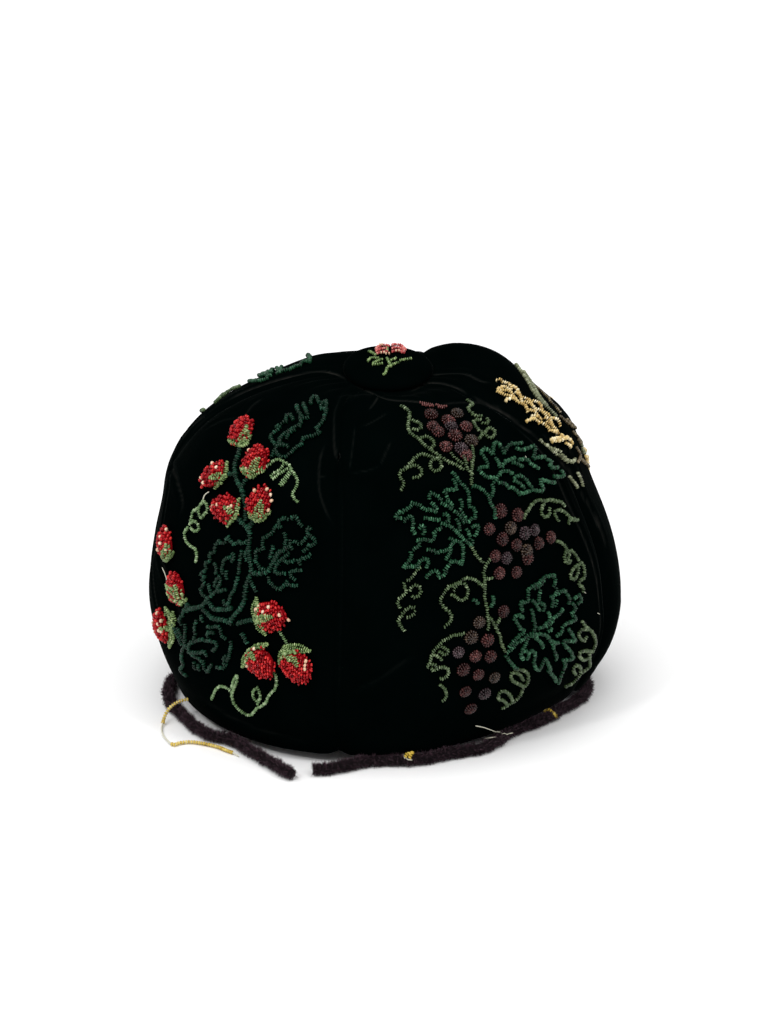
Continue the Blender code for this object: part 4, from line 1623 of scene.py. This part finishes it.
# %% A round body along a line
def body(shape, line, radius, sides=8):
    """Adds a closed tube along a line: one ring is extruded from point to point."""
    start = (line[1] - line[0]).to_track_quat("Z", "Y").to_matrix().to_4x4()
    start.translation = line[0]
    ring = bmesh.ops.create_circle(
        shape, cap_ends=False, segments=sides, radius=radius, matrix=start
    )["verts"]
    first = edges_of(ring)
    bmesh.ops.contextual_create(shape, geom=first)
    edges = first
    for i in range(1, len(line)):
        made = bmesh.ops.extrude_edge_only(shape, edges=edges)["geom"]
        verts = [item for item in made if isinstance(item, bmesh.types.BMVert)]
        edges = [item for item in made if isinstance(item, bmesh.types.BMEdge)]
        ahead = line[min(i + 1, len(line) - 1)] - line[i - 1]
        behind = line[i] - line[max(i - 2, 0)]
        turn = behind.rotation_difference(ahead).to_matrix()
        bmesh.ops.translate(shape, verts=verts, vec=line[i] - line[i - 1])
        bmesh.ops.rotate(shape, verts=verts, cent=line[i], matrix=turn)
        edges = [edge for edge in edges if all(vert in verts for vert in edge.verts)]
    bmesh.ops.contextual_create(shape, geom=edges)


def edges_of(ring):
    """The edges that join the points of one ring."""
    return list({edge for vert in ring for edge in vert.link_edges if edge.other_vert(vert) in ring})


print("body helper ready")


# %% Pile on a line
# one spike, one unit wide and long: a triangle at its root and a point at its tip
SPIKE = ((-0.5, 0.29, 0.0), (0.5, 0.29, 0.0), (0.0, -0.58, 0.0), (0.0, 0.0, 1.0))
SPIKE_FACES = ((0, 2, 1), (0, 1, 3), (1, 2, 3), (2, 0, 3))
SPIKES_PER_MILLIMETRE = 66
SPIKE_ROOT = 0.0013
SPIKE_REACH = 0.0037
SPIKE_WIDE = 0.00042
# the twisted threads bunch the pile into tufts that wind round the cord
TUFT_STEP = 2.4
LEAST_REACH = 0.64
TUFT_SHARE = 0.42
SWELL_SHARE = 0.07
# the tips' tone is raised a little, a painted highlight
TIP_PAINTED_HIGHLIGHT = 0.15


def length_of(line):
    """The length of a line of points."""
    return sum((b - a).length for a, b in zip(line, line[1:]))


def pile(line, seed):
    """Spikes all round a line, as points, faces and tones."""
    rng = np.random.default_rng(seed)
    count = int(length_of(line) * 1000 * SPIKES_PER_MILLIMETRE)
    steps = evenly(line, 0.0005)
    spots = np.array([point[:] for point in steps])
    ahead = np.gradient(spots, axis=0)
    ahead /= np.linalg.norm(ahead, axis=1, keepdims=True)
    at = rng.uniform(0, len(steps) - 1.001, count)
    low = at.astype(int)
    share = (at - low)[:, None]
    centre = spots[low] * (1 - share) + spots[low + 1] * share
    along = ahead[low]
    side = np.cross(along, (0.0, 0.0, 1.0))
    side /= np.linalg.norm(side, axis=1, keepdims=True)
    up = np.cross(side, along)
    turn = rng.uniform(0, 2 * math.pi, count)[:, None]
    out = side * np.cos(turn) + up * np.sin(turn)
    lean = out + along * rng.normal(0, 0.35, (count, 1)) + side * rng.normal(0, 0.15, (count, 1))
    lean /= np.linalg.norm(lean, axis=1, keepdims=True)
    turned = 2 * math.pi * at * 0.5 / TUFT_STEP + turn[:, 0] + rng.normal(0, 0.35, count)
    tuft = np.sin(turned) * 0.5 + 0.5
    swell = np.sin(at * 0.43 + seed) + np.sin(at * 0.27 + turn[:, 0] + seed * 2)
    reach = SPIKE_REACH * (LEAST_REACH + TUFT_SHARE * tuft + SWELL_SHARE * swell)
    far = (reach * rng.uniform(0.86, 1.06, count))[:, None]
    root = centre + out * SPIKE_ROOT
    tip = centre + lean * far
    across = np.cross(lean, along)
    across /= np.linalg.norm(across, axis=1, keepdims=True)
    other = np.cross(across, lean)
    x, y, z = (np.array(SPIKE)[None, :, i, None] for i in range(3))
    places = root[:, None] + across[:, None] * x * SPIKE_WIDE + other[:, None] * y * SPIKE_WIDE
    places = places + (tip - root)[:, None] * z
    # tone follows the tufts, lighter on them and darker in the grooves between, tips paler still: painted
    # highlight and painted shade
    tone = np.repeat(np.clip(rng.normal(0.0, 0.10, count) + 0.75 * tuft**2, 0, 1), 4)
    tone[3::4] = np.clip(tone[3::4] + TIP_PAINTED_HIGHLIGHT, 0, 1)
    faces = [[v + 4 * i for v in face] for i in range(count) for face in SPIKE_FACES]
    return places.reshape(-1, 3), faces, tone


print("spikes a millimetre:", SPIKES_PER_MILLIMETRE)


# %% A length of chenille
BODY_RADIUS = 0.0019
BODY_STEP = 0.003
BODY_TONE = 0.15
OVER_FLOOR = 0.00012


def chenille(name, line, node, rusty=lambda place: False, seed=3):
    """One length of chenille: a body and its pile, as one mesh."""
    shape = bmesh.new()
    body(shape, evenly(line, BODY_STEP), BODY_RADIUS)
    bmesh.ops.recalc_face_normals(shape, faces=shape.faces)
    points = [vert.co[:] for vert in shape.verts]
    shape.verts.index_update()
    faces = [[vert.index for vert in face.verts] for face in shape.faces]
    shape.free()
    core = len(points)
    places, spikes, tones = pile(line, seed)
    places[:, 2] = np.maximum(places[:, 2], OVER_FLOOR)
    points += places.tolist()
    faces += [[v + core for v in face] for face in spikes]
    mesh = bpy.data.meshes.new(name)
    mesh.from_pydata(points, [], faces)
    tone = mesh.attributes.new("tone", "FLOAT", "POINT")
    tone.data.foreach_set("value", np.concatenate([np.full(core, BODY_TONE), tones]))
    mesh.materials.append(CHENILLE)
    mesh.materials.append(RUSTY)
    worn = [int(rusty(points[face.vertices[0]])) for face in mesh.polygons]
    mesh.polygons.foreach_set("material_index", worn)
    mesh.shade_smooth()
    mesh.update()
    made = placed(name, mesh)
    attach(made, "root")
    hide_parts(node)
    print(name, "faces:", len(faces))
    return made


print("chenille helper ready")


# %% The chenille that is still sewn on
def middle_line(node):
    """The middle of a tube that runs round the cap, read from its rings of points."""
    places = {tuple(round(v, 6) for v in vert.co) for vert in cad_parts[node].data.vertices}
    around = [((math.degrees(math.atan2(x, -y)) + 45) % 360, Vector((x, y, z))) for x, y, z in places]
    around.sort(key=lambda row: row[0])
    line = []
    ring = [around[0]]
    for row in around[1:]:
        if row[0] - ring[-1][0] > 1.0:
            line.append(sum((place for _, place in ring), Vector()) / len(ring))
            ring = []
        ring.append(row)
    line.append(sum((place for _, place in ring), Vector()) / len(ring))
    return line


EDGE_WAVES = (
    # how far the edging waves in and out, and how often
    (0.0009, 0.19),
    (0.0006, 0.073),
)
EDGE_SWINGS = (
    # where the edging swings out from the rim at the front, how wide, and how far
    (0.036, 0.014, 0.0048),
    (0.079, 0.010, 0.0030),
)
# its front end has come away from the rim over the first steps
LOOSE_STEPS = 24
LOOSE_SWING = 0.0075
# where its pile is rubbed and rusty
RUSTY_FROM = 0.079
RUSTY_FRONT = -0.075
RUSTY_BACK = -0.028
RUSTY_SHARE = 0.8
edge_line = evenly(smooth(middle_line("edge_cord"), 4), 0.001)[3:]
for i, place in enumerate(edge_line):
    away = Vector((place.x, place.y, 0.0)).normalized()
    place += away * sum(swing * math.sin(i * often) for swing, often in EDGE_WAVES)
    place += away * LOOSE_SWING * max(0.0, 1 - i / LOOSE_STEPS) ** 1.6
    for middle, reach, swing in EDGE_SWINGS:
        place += away * swing * math.exp(-(((place.x - middle) / reach) ** 2)) * (place.y < 0)


def rubbed_rusty(place):
    """Whether a face of the edging's pile is one of the rubbed, rusty ones at its right."""
    return place[0] > RUSTY_FROM and RUSTY_FRONT < place[1] < RUSTY_BACK and chance.random() < RUSTY_SHARE


edge_chenille = chenille("chenille_edging", edge_line, "edge_cord", rusty=rubbed_rusty)

# %% The chenille that has come loose
LOOSE_ROUTE = (
    (-0.0920, 0.0080),
    (-0.0944, 0.0005),
    (-0.0948, -0.0124),
    (-0.0924, -0.0229),
    (-0.0883, -0.0312),
    (-0.0834, -0.0414),
    (-0.0775, -0.0505),
    (-0.0719, -0.0555),
    (-0.0654, -0.0580),
    (-0.0600, -0.0644),
    (-0.0533, -0.0732),
    (-0.0472, -0.0809),
    (-0.0411, -0.0886),
    (-0.0379, -0.0924),
)
LOOSE_HEIGHT = 0.0032

loose_line = smooth([(x, y, LOOSE_HEIGHT) for x, y in LOOSE_ROUTE], 4)
loose_chenille = chenille("chenille_loose", loose_line, "loose_cord", seed=8)
loose_length = length_of(loose_line)
tuple(loose_line[0])
[tuple(point) for point in loose_line]
print("loose chenille:", round(loose_length, 4))

# %% [markdown]
# A few ends of sewing thread have come out of the edging, and bits of pale lint have settled on the
# velvet. They are thin closed tubes, each only a few faces round.

# %% Loose threads and lint
THREADS = (
    # radius in millimetres, height over the surface in millimetres, points of the picture
    (0.22, 0.5, ((475, 725), (484, 727), (495, 731), (504, 734), (512, 733))),
    (0.20, 0.6, ((460, 745), (475, 741), (495, 737))),
    (0.13, 0.4, ((582, 591), (585, 593))),
    (0.28, 0.5, ((404, 755), (407, 759), (412, 760))),
    (0.26, 0.6, ((210, 492), (206, 495), (204, 500))),
    (0.13, 0.3, ((525, 456), (526, 458))),
    (0.13, 0.3, ((597, 613), (599, 614))),
    (0.25, 0.4, ((163, 568), (166, 575), (168, 582))),
    (0.25, 0.4, ((167, 583), (170, 590), (174, 597), (177, 603))),
)

TAIL = ((-0.0642, -0.0672, 0.0011), (-0.0628, -0.0682, 0.0008), (-0.0612, -0.0700, 0.0006))
THREAD_SIDES = 5
THREAD_SOCKETS = {"Base Color": (0.62, 0.60, 0.48, 1.0), "Roughness": 0.85}

thread_look = material("sewing_thread", THREAD_SOCKETS)[0]
thread_shape = bmesh.new()
body(thread_shape, evenly(smooth(STRING_ROUTE, 6), 0.002), 0.00035, THREAD_SIDES)
body(thread_shape, smooth(TAIL, 3), 0.0003, THREAD_SIDES)
COVERED = tree_of([*velvet.values(), pads, edge_chenille])
for radius, lift, line in THREADS:
    spots = [sewn(*point, COVERED) for point in smooth(line, 4)]
    spots = [place + out * lift / 1000 for place, out in (spot for spot in spots if spot)]
    if len(spots) > 2:
        body(thread_shape, spots, radius / 1000, THREAD_SIDES)
bmesh.ops.recalc_face_normals(thread_shape, faces=thread_shape.faces)
thread_mesh = bpy.data.meshes.new("loose_threads")
thread_shape.to_mesh(thread_mesh)
thread_shape.free()
thread_mesh.materials.append(thread_look)
thread_mesh.shade_smooth()
threads = placed("loose_threads", thread_mesh)
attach(threads, "root")
print("threads:", len(THREADS), "faces:", len(thread_mesh.polygons))

# %% [markdown]
# The cap stands on a plain pale floor. A wide soft light from above and two small lamps beside it stand
# in for a photographer's, and a pale world lights the velvet's pile from all round.

# %% The floor
FLOOR_HALF = 80
PAPER_SOCKETS = {"Base Color": (0.93, 0.93, 0.93, 1.0), "Roughness": 0.7}

floor_shape = bmesh.new()
bmesh.ops.create_grid(floor_shape, x_segments=1, y_segments=1, size=FLOOR_HALF)
floor_mesh = bpy.data.meshes.new("floor")
floor_shape.to_mesh(floor_mesh)
floor_shape.free()
floor = placed("floor", floor_mesh)
floor_mesh.materials.append(material("pale_paper", PAPER_SOCKETS)[0])
print("floor:", 2 * FLOOR_HALF, "metres wide")

# %% The lamps
LAMP_AIM = Vector((0.0, 0.0, 0.08))
LAMP_SIZE = 0.16
LAMP_POWER = 4


def softbox(name, place):
    """A square lamp that faces the cap."""
    lamp = bpy.data.lights.new(name, "AREA")
    lamp.size = LAMP_SIZE
    lamp.energy = LAMP_POWER
    made = placed(name, lamp)
    made.location = place
    made.rotation_euler = (LAMP_AIM - Vector(place)).to_track_quat("-Z", "Y").to_euler()


sky = bpy.data.lights.new("soft_sky", "SUN")
sky.energy = 2.4
sky.angle = math.radians(70)
above = placed("soft_sky", sky)
above.rotation_euler = (math.radians(14), math.radians(-6), 0.0)
softbox("lamp_left", (-0.7, -0.9, 1.1))
softbox("lamp_right", (0.8, -0.8, 1.1))
world = bpy.data.worlds.new("room")
world.use_nodes = True
world.node_tree.nodes["Background"].inputs["Color"].default_value = (1.0, 1.0, 1.0, 1.0)
world.node_tree.nodes["Background"].inputs["Strength"].default_value = 0.45
bpy.context.scene.world = world
print("lamps: 3")
